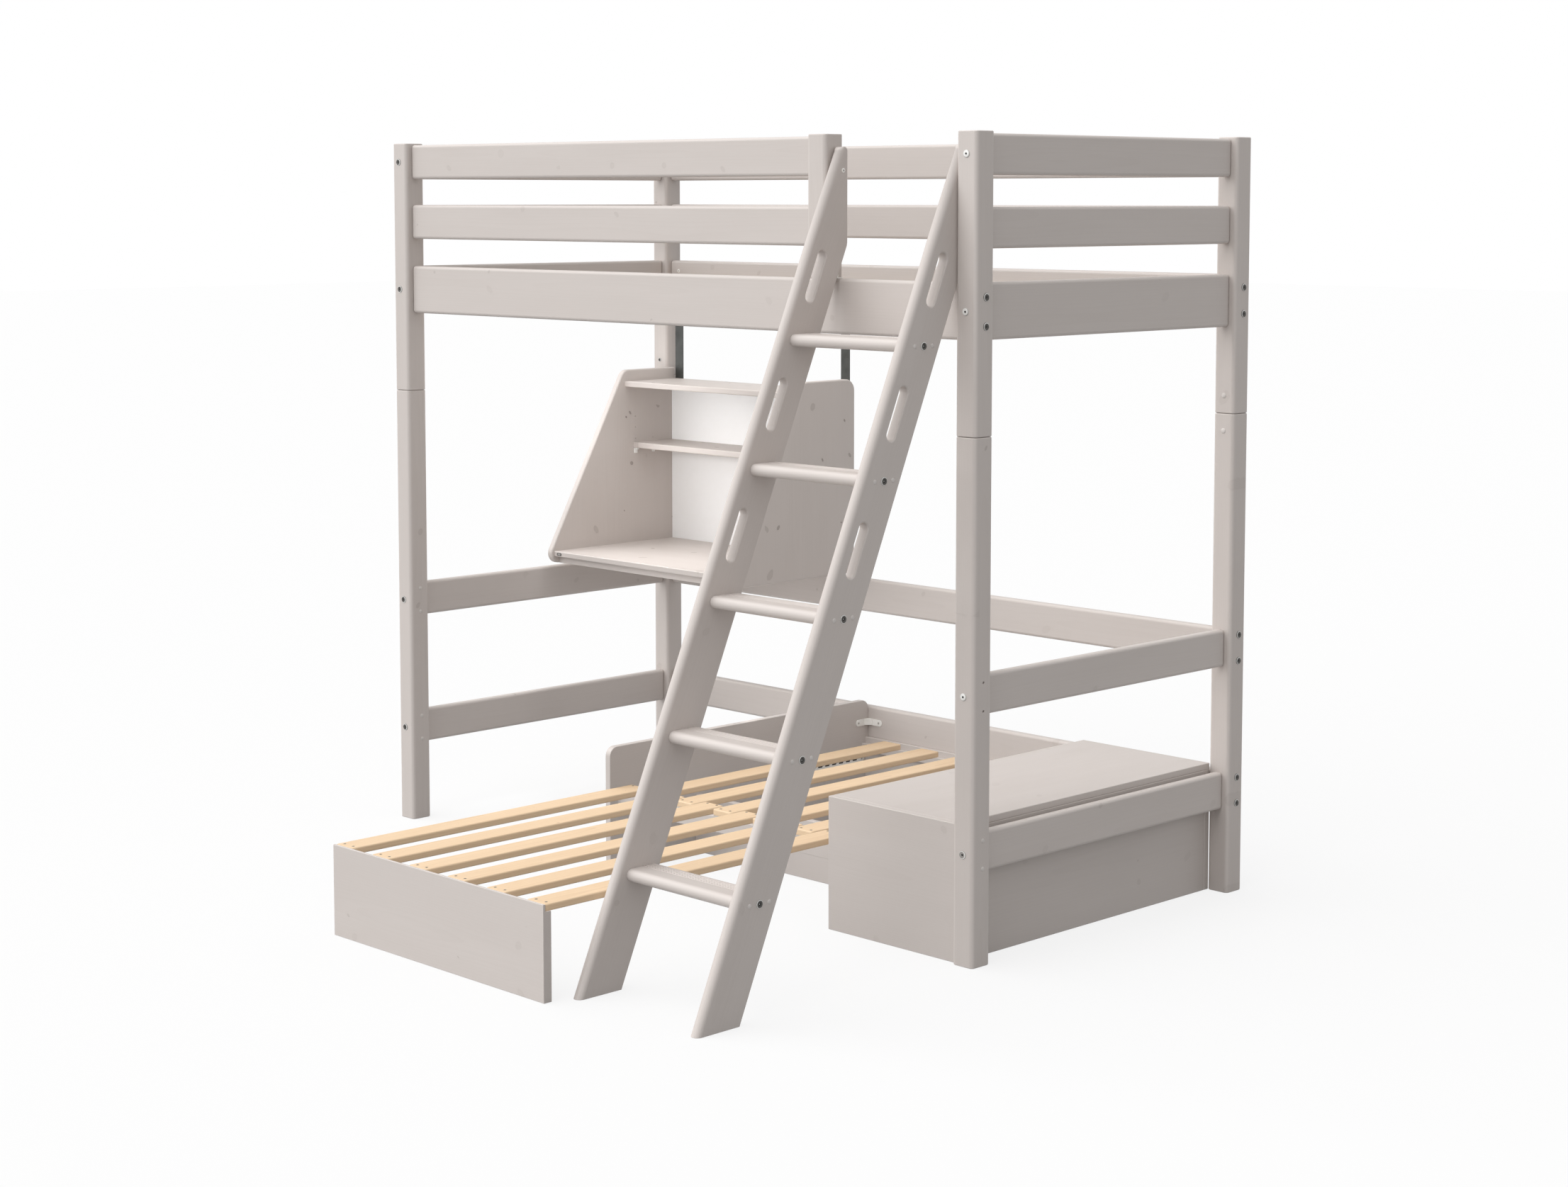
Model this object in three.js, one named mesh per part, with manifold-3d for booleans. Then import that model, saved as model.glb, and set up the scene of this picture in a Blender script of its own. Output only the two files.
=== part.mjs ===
import * as THREE from "three";
import * as BufferGeometryUtils from "three/addons/utils/BufferGeometryUtils.js";
import Module from "manifold-3d";

// Loft bed in washed pine, with a leaning ladder, a hanging desk, a storage chest with a lid
// and a bench whose slatted front half pulls out into a low bed.
// Millimetres. X runs along the front from the left posts, Y from the front to the back, Z up.

// Posts
const frameLength = 2100;
const frameWidth = 1000;
const postHeight = 1845;
const postSize = 60;
const postRound = 10;
const postBevel = 2.5;
const seamHeight = 1180;

// Rails, which butt against the posts and lie a little behind their outer faces
const railSetback = 18;
const railThickness = 25;
const railRound = 8;
const railEndRound = 6;
const slimRailHeight = 91;
const bedRailHeight = 126.5;
const topGuardDrop = 50;
const guardPitch = 160;
const bedRailDrop = 392;
const midRailLevel = 606;
const lowRailLevel = 253;

// Ladder
const ladderWidth = 395.8;
const stileThickness = 27;
const stileWidth = 111;
const stileTopDrop = 30;
const stileTopRound = 9;
const stileCutRise = 78;
const leanAngle = THREE.MathUtils.degToRad(23.5);
const noseFlat = 0.4;
const stepCount = 5;
const firstStepLevel = 247;
const topStepDrop = 71.5;
const stepDepth = 82;
const stepThickness = 28;
const stepBackRound = 3;
const stepInset = 11;
const stepEndGap = 0.3;
const grooveCount = 4;
const groovePitch = 8;
const grooveWidth = 5;
const grooveSlope = 1.2;
const grooveDepth = 1.6;
const grooveInset = 9;
const gripCount = 3;
const gripLength = 128;
const gripWidth = 30;
const gripForward = 10;
const bracketGap = 3;

// Slatted base of the loft, on ledgers inside the bed rails
const mattressDrop = 50;
const ledgerHeight = 25;
const ledgerDepth = 25;
const ledgerEndGap = 2;
const baseSlatCount = 14;
const baseSlatWidth = 70;
const baseSlatThickness = 18;
const baseSlatEndGap = 1;
const baseBattenWidth = 30;
const baseBattenHeight = 20;
const baseBattenShare = 0.3;

// Desk
const deskWidth = 755;
const deskPostGap = 0.8;
const deskPanelThickness = 20;
const deskHang = 186.75;
const deskHeight = 538;
const deskBottomDepth = 494.5;
const deskHeadDepth = 199.5;
const deskBottomRound = 28;
const deskTopRound = 30;
const deskBackRound = 32;
const deskTopRise = 35;
const deskTopThickness = 15.5;
const deskTopDepth = 466.5;
const apronSetback = 18;
const apronThickness = 18;
const topShelfDrop = 32;
const topShelfThickness = 16.5;
const topShelfDepth = 197.5;
const looseShelfDrop = 211;
const looseShelfThickness = 17;
const looseShelfDepth = 165.5;
const looseShelfGap = 0.3;
const deskBackThickness = 14;
const strapThickness = 2.5;
const strapWidth = 33;
const strapInset = 1;
const strapLedgerGap = 3;

// Chest
const chestWidth = 398.4;
const chestFront = 12.7;
const chestBackGap = 12.2;
const chestHeight = 316;
const chestBoard = 18;
const chestFloorRise = 10;
const chestFloorThickness = 12;
const lidThickness = 16;
const lidGap = 0.3;

// Bench beside the chest: an arm, a rear board, a cross board and two interleaved sets of slats
const benchWidth = 773.6;
const armThickness = 18;
const armHeight = 316;
const armRound = 24;
const benchClearance = 7.3;
const frontBoardThickness = 22;
const frontBoardRim = 6.3;
const slatTop = 213.5;
const slatThickness = 16;
const slatRound = 4;
const slatCount = 6;
const slatWidth = 65;
const slatRunningGap = 0.5;
const battenHeight = 40;
const battenThickness = 22;
const battenEndGap = 3;
const slatEndInset = 2;
const parkedGap = 1;
const travelGap = 0.8;
const rearSlatEnd = 5;
const rearBoardThickness = 12;
const ledgeDepth = 14;
const ledgeHeight = 22;
const crossBoardFront = 307;
const crossBoardThickness = 18;
const crossBoardHeight = 150;
const runnerLength = 298;
const runnerEndGap = 7;
const runnerHeight = 18;
const runnerThickness = 2;
const runnerLap = 7;

// One overrun lets every cut pass its faces.
const overrun = 10;
const quarterTurn = Math.PI / 2;

// Levels and planes that several pieces share
const railInner = railSetback + railThickness;
const railBackInner = frameWidth - railInner;
const topGuardLevel = postHeight - topGuardDrop;
const lowGuardLevel = topGuardLevel - guardPitch;
const bedRailLevel = postHeight - bedRailDrop;
const bedRailTop = bedRailLevel + bedRailHeight / 2;
const bedRailBottom = bedRailLevel - bedRailHeight / 2;
const bedSlatTop = bedRailTop - mattressDrop;
const ledgerTop = bedSlatTop - baseSlatThickness;
const ladderRight = frameLength - postSize;
const ladderLeft = ladderRight - ladderWidth;
const shortPostRight = ladderLeft - bracketGap;
const shortPostLeft = shortPostRight - postSize;
const chestRight = frameLength - postSize;
const chestLeft = chestRight - chestWidth;
const chestBack = railBackInner - chestBackGap;
const armInner = chestLeft - benchWidth;
const slatBottom = slatTop - slatThickness;
const battenTop = slatBottom - slatRunningGap;
const fixedBattenFront = chestFront + frontBoardThickness + parkedGap;
const fixedBattenBack = fixedBattenFront + battenThickness;
const movingBattenFront = fixedBattenBack + slatRunningGap;
const movingBattenBack = movingBattenFront + battenThickness;
const benchBack = railBackInner;
const ledgeFront = benchBack - rearBoardThickness - ledgeDepth;
const benchTravel = ledgeFront - travelGap - movingBattenBack;
const frontBoardFront = chestFront - benchTravel;

const wasm = await Module();
wasm.setup();

const colours = {
  washedPine: { color: 0xc9c0bb, roughness: 0.55, metalness: 0 },
  naturalPine: { color: 0xe8cda6, roughness: 0.6, metalness: 0 },
  whiteBoard: { color: 0xf4f4f3, roughness: 0.5, metalness: 0 },
  darkSteel: { color: 0x4a4c4a, roughness: 0.45, metalness: 0.6 },
  whiteMetal: { color: 0xe9e6e2, roughness: 0.4, metalness: 0.3 },
};

// How an extrusion is turned so that its depth runs along X, Y or Z.
const turnedAlong = {
  x: new THREE.Euler(quarterTurn, quarterTurn, 0),
  y: new THREE.Euler(-quarterTurn, 0, 0),
  z: new THREE.Euler(0, 0, 0),
};

function middle(span) {
  return (span[0] + span[1]) / 2;
}

function reach(span) {
  return span[1] - span[0];
}

function addMesh(group, name, geometry, finish) {
  const mesh = new THREE.Mesh(geometry, new THREE.MeshStandardMaterial(colours[finish]));
  mesh.name = name;
  group.add(mesh);
  return mesh;
}

// A closed geometry becomes a solid that can be joined and cut.
function solidOf(geometry) {
  const bare = geometry.clone();
  bare.deleteAttribute("normal");
  bare.deleteAttribute("uv");
  const merged = BufferGeometryUtils.mergeVertices(bare);
  const vertProperties = new Float32Array(merged.attributes.position.array);
  const triVerts = new Uint32Array(merged.index.array);
  return new wasm.Manifold(new wasm.Mesh({ numProp: 3, vertProperties, triVerts }));
}

function geometryOf(solid) {
  const result = solid.getMesh();
  const geometry = new THREE.BufferGeometry();
  geometry.setAttribute("position", new THREE.BufferAttribute(result.vertProperties, 3));
  geometry.setIndex(new THREE.BufferAttribute(result.triVerts, 1));
  geometry.computeVertexNormals();
  return geometry;
}

// A closed outline through the corners given, each rounded by its own radius.
function roundedOutline(corners) {
  const shape = new THREE.Shape();
  corners.forEach(({ at, round }, i) => {
    const corner = new THREE.Vector2(...at);
    const before = new THREE.Vector2(...corners.at(i - 1).at).sub(corner).normalize();
    const after = new THREE.Vector2(...corners[(i + 1) % corners.length].at).sub(corner).normalize();
    const half = Math.acos(before.dot(after)) / 2;
    const place = i === 0 ? "moveTo" : "lineTo";
    if (!round) {
      shape[place](corner.x, corner.y);
      return;
    }
    const start = before.clone().multiplyScalar(round / Math.tan(half)).add(corner);
    const end = after.clone().multiplyScalar(round / Math.tan(half)).add(corner);
    const centre = before.clone().add(after).normalize().multiplyScalar(round / Math.sin(half)).add(corner);
    shape[place](start.x, start.y);
    const startAngle = start.sub(centre).angle();
    const endAngle = end.sub(centre).angle();
    shape.absarc(centre.x, centre.y, round, startAngle, endAngle, false);
  });
  return shape;
}

function rectangle(width, height, round) {
  const right = width / 2;
  const top = height / 2;
  return roundedOutline([
    { at: [-right, -top], round },
    { at: [right, -top], round },
    { at: [right, top], round },
    { at: [-right, top], round },
  ]);
}

// A bar of the given length centred on the origin, its depth along Z, its ends bevelled.
function barGeometry(shape, length, bevel) {
  const geometry = new THREE.ExtrudeGeometry(shape, {
    depth: length - 2 * bevel,
    bevelEnabled: bevel > 0,
    bevelSize: bevel,
    bevelThickness: bevel,
    bevelOffset: -bevel,
    bevelSegments: 1,
    curveSegments: 2,
  });
  return geometry.translate(0, 0, bevel - length / 2);
}

// A straight bar that fills a box, with its long edges rounded and its ends bevelled.
function addBar(group, name, finish, along, box, round, bevel) {
  const width = along === "x" ? reach(box.y) : reach(box.x);
  const height = along === "z" ? reach(box.y) : reach(box.z);
  const shape = rectangle(width, height, round);
  const mesh = addMesh(group, name, barGeometry(shape, reach(box[along]), bevel), finish);
  mesh.rotation.copy(turnedAlong[along]);
  mesh.position.set(middle(box.x), middle(box.y), middle(box.z));
}

function boxGeometry(box) {
  const geometry = new THREE.BoxGeometry(reach(box.x), reach(box.y), reach(box.z));
  return geometry.translate(middle(box.x), middle(box.y), middle(box.z));
}

function addBox(group, name, finish, box) {
  addMesh(group, name, boxGeometry(box), finish);
}

// An outline drawn in Y and Z, carried along X from one plane to another.
function profileGeometry(shape, span, curveSegments) {
  const geometry = new THREE.ExtrudeGeometry(shape, {
    depth: reach(span),
    bevelEnabled: false,
    curveSegments,
  });
  return geometry.rotateY(quarterTurn).rotateX(quarterTurn).translate(span[0], 0, 0);
}

function makePosts() {
  const group = new THREE.Group();
  const columns = { left: [0, postSize], right: [frameLength - postSize, frameLength] };
  const rows = { front: [0, postSize], back: [frameWidth - postSize, frameWidth] };
  const sections = { lower: [0, seamHeight], upper: [seamHeight, postHeight] };
  for (const [row, y] of Object.entries(rows)) {
    for (const [column, x] of Object.entries(columns)) {
      for (const [section, z] of Object.entries(sections)) {
        const name = `${row}_${column}_post_${section}`;
        addBar(group, name, "washedPine", "z", { x, y, z }, postRound, postBevel);
      }
    }
  }
  const shortPost = { x: [shortPostLeft, shortPostRight], y: [0, postSize], z: [bedRailTop, postHeight] };
  addBar(group, "short_ladder_post", "washedPine", "z", shortPost, postRound, postBevel);
  return group;
}

function addRail(group, name, along, span, plane, level, height) {
  const z = [level - height / 2, level + height / 2];
  const box = along === "x" ? { x: span, y: plane, z } : { x: plane, y: span, z };
  addBar(group, name, "washedPine", along, box, railRound, railEndRound);
}

// One rail on each side at every level; the front stays open below and at the ladder.
function makeRails() {
  const group = new THREE.Group();
  const levels = [
    { name: "top_guard", level: topGuardLevel, height: slimRailHeight, frontEnd: shortPostLeft },
    { name: "low_guard", level: lowGuardLevel, height: slimRailHeight, frontEnd: shortPostLeft },
    { name: "bed_rail", level: bedRailLevel, height: bedRailHeight, frontEnd: frameLength - postSize },
    { name: "mid_rail", level: midRailLevel, height: slimRailHeight, frontEnd: 0 },
    { name: "low_rail", level: lowRailLevel, height: slimRailHeight, frontEnd: 0 },
  ];
  const lengthwise = [postSize, frameLength - postSize];
  const crosswise = [postSize, frameWidth - postSize];
  const near = [railSetback, railInner];
  for (const { name, level, height, frontEnd } of levels) {
    if (frontEnd) {
      addRail(group, `front_${name}`, "x", [postSize, frontEnd], near, level, height);
    }
    const backPlane = [railBackInner, frameWidth - railSetback];
    addRail(group, `back_${name}`, "x", lengthwise, backPlane, level, height);
    addRail(group, `left_${name}`, "y", crosswise, near, level, height);
    const rightPlane = [frameLength - railInner, frameLength - railSetback];
    addRail(group, `right_${name}`, "y", crosswise, rightPlane, level, height);
  }
  return group;
}

// Values of the ladder that follow from where its stiles meet the bed rail
const leanSlope = Math.tan(leanAngle);
const stileCutLevel = bedRailTop + stileCutRise;
const stileFoot = railInner - leanSlope * stileCutLevel;
const stileRun = stileWidth / Math.cos(leanAngle);
const stileTop = postHeight - stileTopDrop;
const stepPitch = (bedRailLevel - topStepDrop - firstStepLevel) / (stepCount - 1);

// The back edge of a stile at a height; the front edge is one stile run before it.
function stileBackAt(level) {
  return stileFoot + leanSlope * level;
}

// The stile's side view: cut level on the floor, upright behind its head, rounded at the top.
function stileSide() {
  const front = -stileRun - overrun;
  return roundedOutline([
    { at: [stileFoot + front, 0] },
    { at: [stileFoot, 0] },
    { at: [railInner, stileCutLevel] },
    { at: [railInner, stileTop], round: stileTopRound },
    { at: [stileBackAt(stileTop) - stileRun, stileTop], round: stileTopRound },
    { at: [stileBackAt(stileTop - stileTopRound * 3) + front, stileTop - stileTopRound * 3] },
  ]);
}

// A straight plank up the slope with a half-round front edge, longer than the stile.
function stilePlank() {
  const side = stileThickness / 2;
  const nose = side - noseFlat;
  const shape = roundedOutline([
    { at: [-side, -stileWidth], round: nose },
    { at: [side, -stileWidth], round: nose },
    { at: [side, overrun] },
    { at: [-side, overrun] },
  ]);
  const geometry = new THREE.ExtrudeGeometry(shape, {
    depth: postHeight / Math.cos(leanAngle) + postSize * 2,
    bevelEnabled: false,
    curveSegments: 3,
  });
  return geometry.translate(side, 0, -postSize).rotateX(-leanAngle).translate(0, stileFoot, 0);
}

// A grip slot: a long hole with round ends, its length up the slope, half-way between two steps.
function gripGeometry(level) {
  const round = gripWidth / 2;
  const straight = gripLength / 2 - round;
  const shape = new THREE.Shape();
  shape.moveTo(round, -straight);
  shape.absarc(0, straight, round, 0, Math.PI, false);
  shape.absarc(0, -straight, round, Math.PI, 2 * Math.PI, false);
  const geometry = profileGeometry(shape, [-overrun, stileThickness + overrun], 5);
  const centre = stileBackAt(level) - (stileWidth / 2 + gripForward) / Math.cos(leanAngle);
  return geometry.rotateX(-leanAngle).translate(0, centre, level);
}

function stileGeometry() {
  let stile = solidOf(profileGeometry(stileSide(), [-overrun, stileThickness + overrun], 3));
  stile = stile.intersect(solidOf(stilePlank()));
  for (let i = 0; i < gripCount; i += 1) {
    const level = firstStepLevel + (stepCount - 0.5 - i) * stepPitch;
    stile = stile.subtract(solidOf(gripGeometry(level)));
  }
  return geometryOf(stile);
}

// The side view of a step about its middle: half-round nose, grooves in the rear of the tread.
function stepSide() {
  const front = -stepDepth / 2;
  const back = stepDepth / 2;
  const top = stepThickness / 2;
  const shape = new THREE.Shape();
  shape.moveTo(front + top, -top);
  shape.lineTo(back - stepBackRound, -top);
  shape.absarc(back - stepBackRound, stepBackRound - top, stepBackRound, -quarterTurn, 0, false);
  shape.absarc(back - stepBackRound, top - stepBackRound, stepBackRound, 0, quarterTurn, false);
  for (let i = 0; i < grooveCount; i += 1) {
    const edge = back - grooveInset - i * groovePitch;
    shape.lineTo(edge, top);
    shape.lineTo(edge - grooveSlope, top - grooveDepth);
    shape.lineTo(edge - grooveWidth + grooveSlope, top - grooveDepth);
    shape.lineTo(edge - grooveWidth, top);
  }
  shape.lineTo(front + top, top);
  shape.absarc(front + top, 0, top, quarterTurn, 3 * quarterTurn, false);
  return shape;
}

function makeLadder() {
  const group = new THREE.Group();
  const leftStile = addMesh(group, "left_ladder_stile", stileGeometry(), "washedPine");
  leftStile.position.x = ladderLeft;
  const rightStile = addMesh(group, "right_ladder_stile", stileGeometry(), "washedPine");
  rightStile.position.x = ladderRight - stileThickness;
  const span = [ladderLeft + stileThickness + stepEndGap, ladderRight - stileThickness - stepEndGap];
  for (let i = 0; i < stepCount; i += 1) {
    const level = firstStepLevel + i * stepPitch;
    const step = addMesh(group, `ladder_step_${i + 1}`, profileGeometry(stepSide(), span, 3), "washedPine");
    step.position.set(0, stileBackAt(level) - stepInset - stepDepth / 2, level);
  }
  return group;
}

// Slats and battens that are screwed together are joined here into one piece.
function joinedBoxes(boxes) {
  const solids = boxes.map((box) => solidOf(boxGeometry(box)));
  return geometryOf(solids.reduce((whole, next) => whole.add(next)));
}

// Ledgers on the inner faces of the front and back bed rails carry the slatted base.
function makeSlattedBase() {
  const group = new THREE.Group();
  const x = [postSize + ledgerEndGap, frameLength - postSize - ledgerEndGap];
  const ledgerZ = [ledgerTop - ledgerHeight, ledgerTop];
  addBox(group, "front_ledger", "naturalPine", { x, y: [railInner, railInner + ledgerDepth], z: ledgerZ });
  const backY = [railBackInner - ledgerDepth, railBackInner];
  addBox(group, "back_ledger", "naturalPine", { x, y: backY, z: ledgerZ });
  const slatY = [railInner + baseSlatEndGap, railBackInner - baseSlatEndGap];
  const pitch = (reach(x) - baseSlatWidth) / (baseSlatCount - 1);
  const boxes = [];
  for (let i = 0; i < baseSlatCount; i += 1) {
    const start = x[0] + i * pitch;
    boxes.push({ x: [start, start + baseSlatWidth], y: slatY, z: [ledgerTop, bedSlatTop] });
  }
  for (const sideShare of [baseBattenShare, 1 - baseBattenShare]) {
    const centre = slatY[0] + sideShare * reach(slatY);
    const y = [centre - baseBattenWidth / 2, centre + baseBattenWidth / 2];
    boxes.push({ x, y, z: [ledgerTop - baseBattenHeight, ledgerTop + baseSlatThickness / 2] });
  }
  addMesh(group, "loft_slatted_base", joinedBoxes(boxes), "naturalPine");
  return group;
}

// The desk hangs below the back bed rail, so its levels are measured down from there.
const deskBack = railBackInner - strapThickness;
const deskHead = bedRailBottom - deskHang;
const deskFoot = deskHead - deskHeight;
const deskTopLevel = deskFoot + deskTopRise;

// The side view of a desk end: upright behind, slanting in front.
function deskSide(backRound) {
  return roundedOutline([
    { at: [deskBack - deskBottomDepth, deskFoot], round: deskBottomRound },
    { at: [deskBack, deskFoot] },
    { at: [deskBack, deskHead], round: backRound },
    { at: [deskBack - deskHeadDepth, deskHead], round: deskTopRound },
  ]);
}

function makeDesk() {
  const group = new THREE.Group();
  const left = postSize + deskPostGap;
  const right = left + deskWidth;
  const panelFront = deskBack - deskBackThickness;
  const x = [left + deskPanelThickness, right - deskPanelThickness];
  const leftEnd = profileGeometry(deskSide(0), [left, x[0]], 4);
  addMesh(group, "left_desk_end", leftEnd, "washedPine");
  const rightEnd = profileGeometry(deskSide(deskBackRound), [x[1], right], 4);
  addMesh(group, "right_desk_end", rightEnd, "washedPine");
  const topBottom = deskTopLevel - deskTopThickness;
  const topY = [deskBack - deskTopDepth, panelFront];
  addBox(group, "desk_top", "washedPine", { x, y: topY, z: [topBottom, deskTopLevel] });
  const apronFront = topY[0] + apronSetback;
  const apronY = [apronFront, apronFront + apronThickness];
  addBox(group, "desk_apron", "washedPine", { x, y: apronY, z: [deskFoot, topBottom] });
  const shelfY = [deskBack - topShelfDepth, deskBack];
  const shelfZ = [deskHead - topShelfDrop - topShelfThickness, deskHead - topShelfDrop];
  addBox(group, "top_shelf", "washedPine", { x, y: shelfY, z: shelfZ });
  addBox(group, "desk_back", "whiteBoard", { x, y: [panelFront, deskBack], z: [deskFoot, shelfZ[0]] });
  const looseLevel = deskHead - looseShelfDrop;
  const loose = {
    x: [x[0] + looseShelfGap, x[1] - looseShelfGap],
    y: [deskBack - looseShelfDepth, panelFront - looseShelfGap],
    z: [looseLevel - looseShelfThickness, looseLevel],
  };
  addBox(group, "loose_shelf", "washedPine", loose);
  const strapZ = [deskTopLevel, ledgerTop - ledgerHeight - strapLedgerGap];
  const leftStrap = x[0] + strapInset;
  const rightStrap = x[1] - strapInset - strapWidth;
  for (const [side, start] of [["left", leftStrap], ["right", rightStrap]]) {
    const box = { x: [start, start + strapWidth], y: [deskBack, railBackInner], z: strapZ };
    addBox(group, `${side}_desk_strap`, "darkSteel", box);
  }
  return group;
}

// The front board covers the end of the lid; the lid lies on the other three walls.
function makeChest() {
  const group = new THREE.Group();
  const wallTop = chestHeight - lidThickness;
  const x = [chestLeft, chestRight];
  const inX = [chestLeft + chestBoard, chestRight - chestBoard];
  const inY = [chestFront + chestBoard, chestBack - chestBoard];
  const z = [0, wallTop];
  addBox(group, "chest_front", "washedPine", { x, y: [chestFront, inY[0]], z: [0, chestHeight] });
  addBox(group, "chest_back", "washedPine", { x, y: [inY[1], chestBack], z });
  addBox(group, "chest_left_side", "washedPine", { x: [chestLeft, inX[0]], y: inY, z });
  addBox(group, "chest_right_side", "washedPine", { x: [inX[1], chestRight], y: inY, z });
  const floorZ = [chestFloorRise, chestFloorRise + chestFloorThickness];
  addBox(group, "chest_floor", "washedPine", { x: inX, y: inY, z: floorZ });
  const lidX = [chestLeft, chestRight - lidGap];
  const lidY = [inY[0] + lidGap, chestBack];
  addBox(group, "chest_lid", "washedPine", { x: lidX, y: lidY, z: [wallTop, chestHeight] });
  return group;
}

function makeBenchFrame() {
  const group = new THREE.Group();
  const arm = roundedOutline([
    { at: [chestFront, 0] },
    { at: [benchBack, 0] },
    { at: [benchBack, armHeight], round: armRound },
    { at: [chestFront, armHeight], round: armRound },
  ]);
  addMesh(group, "bench_arm", profileGeometry(arm, [armInner - armThickness, armInner], 3), "washedPine");
  const x = [armInner, chestLeft];
  const boardFront = benchBack - rearBoardThickness;
  const rearBoard = joinedBoxes([
    { x, y: [boardFront, benchBack], z: [0, slatTop] },
    { x, y: [ledgeFront, benchBack], z: [slatBottom - ledgeHeight, slatBottom] },
  ]);
  addMesh(group, "bench_rear_board", rearBoard, "washedPine");
  const crossY = [crossBoardFront, crossBoardFront + crossBoardThickness];
  addBox(group, "bench_cross_board", "washedPine", { x, y: crossY, z: [0, crossBoardHeight] });
  const runnerTop = battenTop - battenHeight + runnerLap;
  const runnerEnd = ledgeFront + runnerEndGap;
  const runnerY = [runnerEnd - runnerLength, runnerEnd];
  const runnerZ = [runnerTop - runnerHeight, runnerTop];
  const armRunner = { x: [armInner, armInner + runnerThickness], y: runnerY, z: runnerZ };
  addBox(group, "arm_runner", "whiteMetal", armRunner);
  const chestRunner = { x: [chestLeft - runnerThickness, chestLeft], y: runnerY, z: runnerZ };
  addBox(group, "chest_runner", "whiteMetal", chestRunner);
  return group;
}

// Slats on one batten; small pads under them leave a running gap for the other set.
function slatSet(starts, width, slatY, battenX, battenY) {
  const slats = starts.map((start) => {
    const shape = rectangle(width, slatThickness, slatRound);
    const geometry = barGeometry(shape, reach(slatY), 0);
    geometry.rotateX(-quarterTurn);
    return solidOf(geometry.translate(start + width / 2, middle(slatY), slatTop - slatThickness / 2));
  });
  const pads = starts.map((start) => {
    const x = [start + slatRound, start + width - slatRound];
    return solidOf(boxGeometry({ x, y: battenY, z: [battenTop - slatRound, slatBottom + slatRound] }));
  });
  const batten = solidOf(boxGeometry({ x: battenX, y: battenY, z: [battenTop - battenHeight, battenTop] }));
  return geometryOf([...slats, ...pads].reduce((whole, next) => whole.add(next), batten));
}

const pullLeft = armInner + benchClearance;
const pullRight = chestLeft - benchClearance;
const slatPitch = (pullRight - pullLeft - slatWidth) / (slatCount - 1);

function makeRearSlats() {
  const group = new THREE.Group();
  const starts = [];
  for (let i = 0; i < slatCount - 1; i += 1) {
    starts.push(pullLeft + (i + 0.5) * slatPitch);
  }
  const slatY = [fixedBattenFront, benchBack - rearBoardThickness - rearSlatEnd];
  const battenY = [fixedBattenFront, fixedBattenBack];
  const geometry = slatSet(starts, slatWidth, slatY, [armInner, chestLeft], battenY);
  addMesh(group, "rear_slats", geometry, "naturalPine");
  return group;
}

// The pull-out half stands fully drawn out: a front board with a rebate for the slat ends.
function makePullOut() {
  const group = new THREE.Group();
  const back = frontBoardFront + frontBoardThickness;
  const rebate = frontBoardFront + frontBoardRim;
  const side = roundedOutline([
    { at: [frontBoardFront, 0] },
    { at: [back, 0] },
    { at: [back, slatBottom] },
    { at: [rebate, slatBottom] },
    { at: [rebate, slatTop] },
    { at: [frontBoardFront, slatTop] },
  ]);
  addMesh(group, "pull_out_board", profileGeometry(side, [pullLeft, pullRight], 1), "washedPine");
  const starts = [];
  for (let i = 0; i < slatCount; i += 1) {
    starts.push(pullLeft + i * slatPitch);
  }
  const slatY = [rebate, movingBattenBack - slatEndInset];
  const battenX = [armInner + battenEndGap, chestLeft - battenEndGap];
  const battenY = [movingBattenFront, movingBattenBack];
  const geometry = slatSet(starts, slatWidth, slatY, battenX, battenY);
  addMesh(group, "pull_out_slats", geometry, "naturalPine");
  return group;
}

const loftBed = new THREE.Group();
loftBed.add(makePosts());
loftBed.add(makeRails());
loftBed.add(makeLadder());
loftBed.add(makeSlattedBase());
loftBed.add(makeDesk());
loftBed.add(makeChest());
loftBed.add(makeBenchFrame());
loftBed.add(makeRearSlats());
loftBed.add(makePullOut());

// The origin is on the floor below the middle of the whole box.
loftBed.position.set(-frameLength / 2, -(frameWidth + frontBoardFront) / 2, 0);

const model = new THREE.Group();
model.add(loftBed);

export default model;
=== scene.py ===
import bpy
import math
import numpy as np
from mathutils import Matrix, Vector
from mathutils.geometry import tessellate_polygon


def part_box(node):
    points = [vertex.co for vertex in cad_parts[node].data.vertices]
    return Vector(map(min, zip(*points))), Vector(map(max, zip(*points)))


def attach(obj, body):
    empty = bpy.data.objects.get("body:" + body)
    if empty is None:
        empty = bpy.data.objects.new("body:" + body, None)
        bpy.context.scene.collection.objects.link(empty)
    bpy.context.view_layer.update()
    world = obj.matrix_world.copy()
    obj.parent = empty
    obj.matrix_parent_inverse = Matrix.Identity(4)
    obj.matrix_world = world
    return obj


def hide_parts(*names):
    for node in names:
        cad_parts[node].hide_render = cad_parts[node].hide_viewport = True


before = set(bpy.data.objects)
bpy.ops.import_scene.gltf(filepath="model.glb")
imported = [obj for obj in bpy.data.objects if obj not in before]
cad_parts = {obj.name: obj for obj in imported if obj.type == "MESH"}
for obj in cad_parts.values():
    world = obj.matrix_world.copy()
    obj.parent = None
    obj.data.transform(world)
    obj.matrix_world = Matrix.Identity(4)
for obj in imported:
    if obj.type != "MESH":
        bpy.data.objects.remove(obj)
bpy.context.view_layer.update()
print("loft bed: frame loaded")

# Camera. The lens is worked out from its length in pixels of a picture 2212 pixels wide.
cameraSettings = {
    "place": (4.9452, -4.4966, 1.7012),
    "turn": 45.465,
    "tilt": 5.043,
    "focalPixels": 3830.4,
    "imageWidth": 2212,
    "sensorWidth": 36.0,
    "shiftY": -0.1,
    "clipEnd": 200,
}


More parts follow.
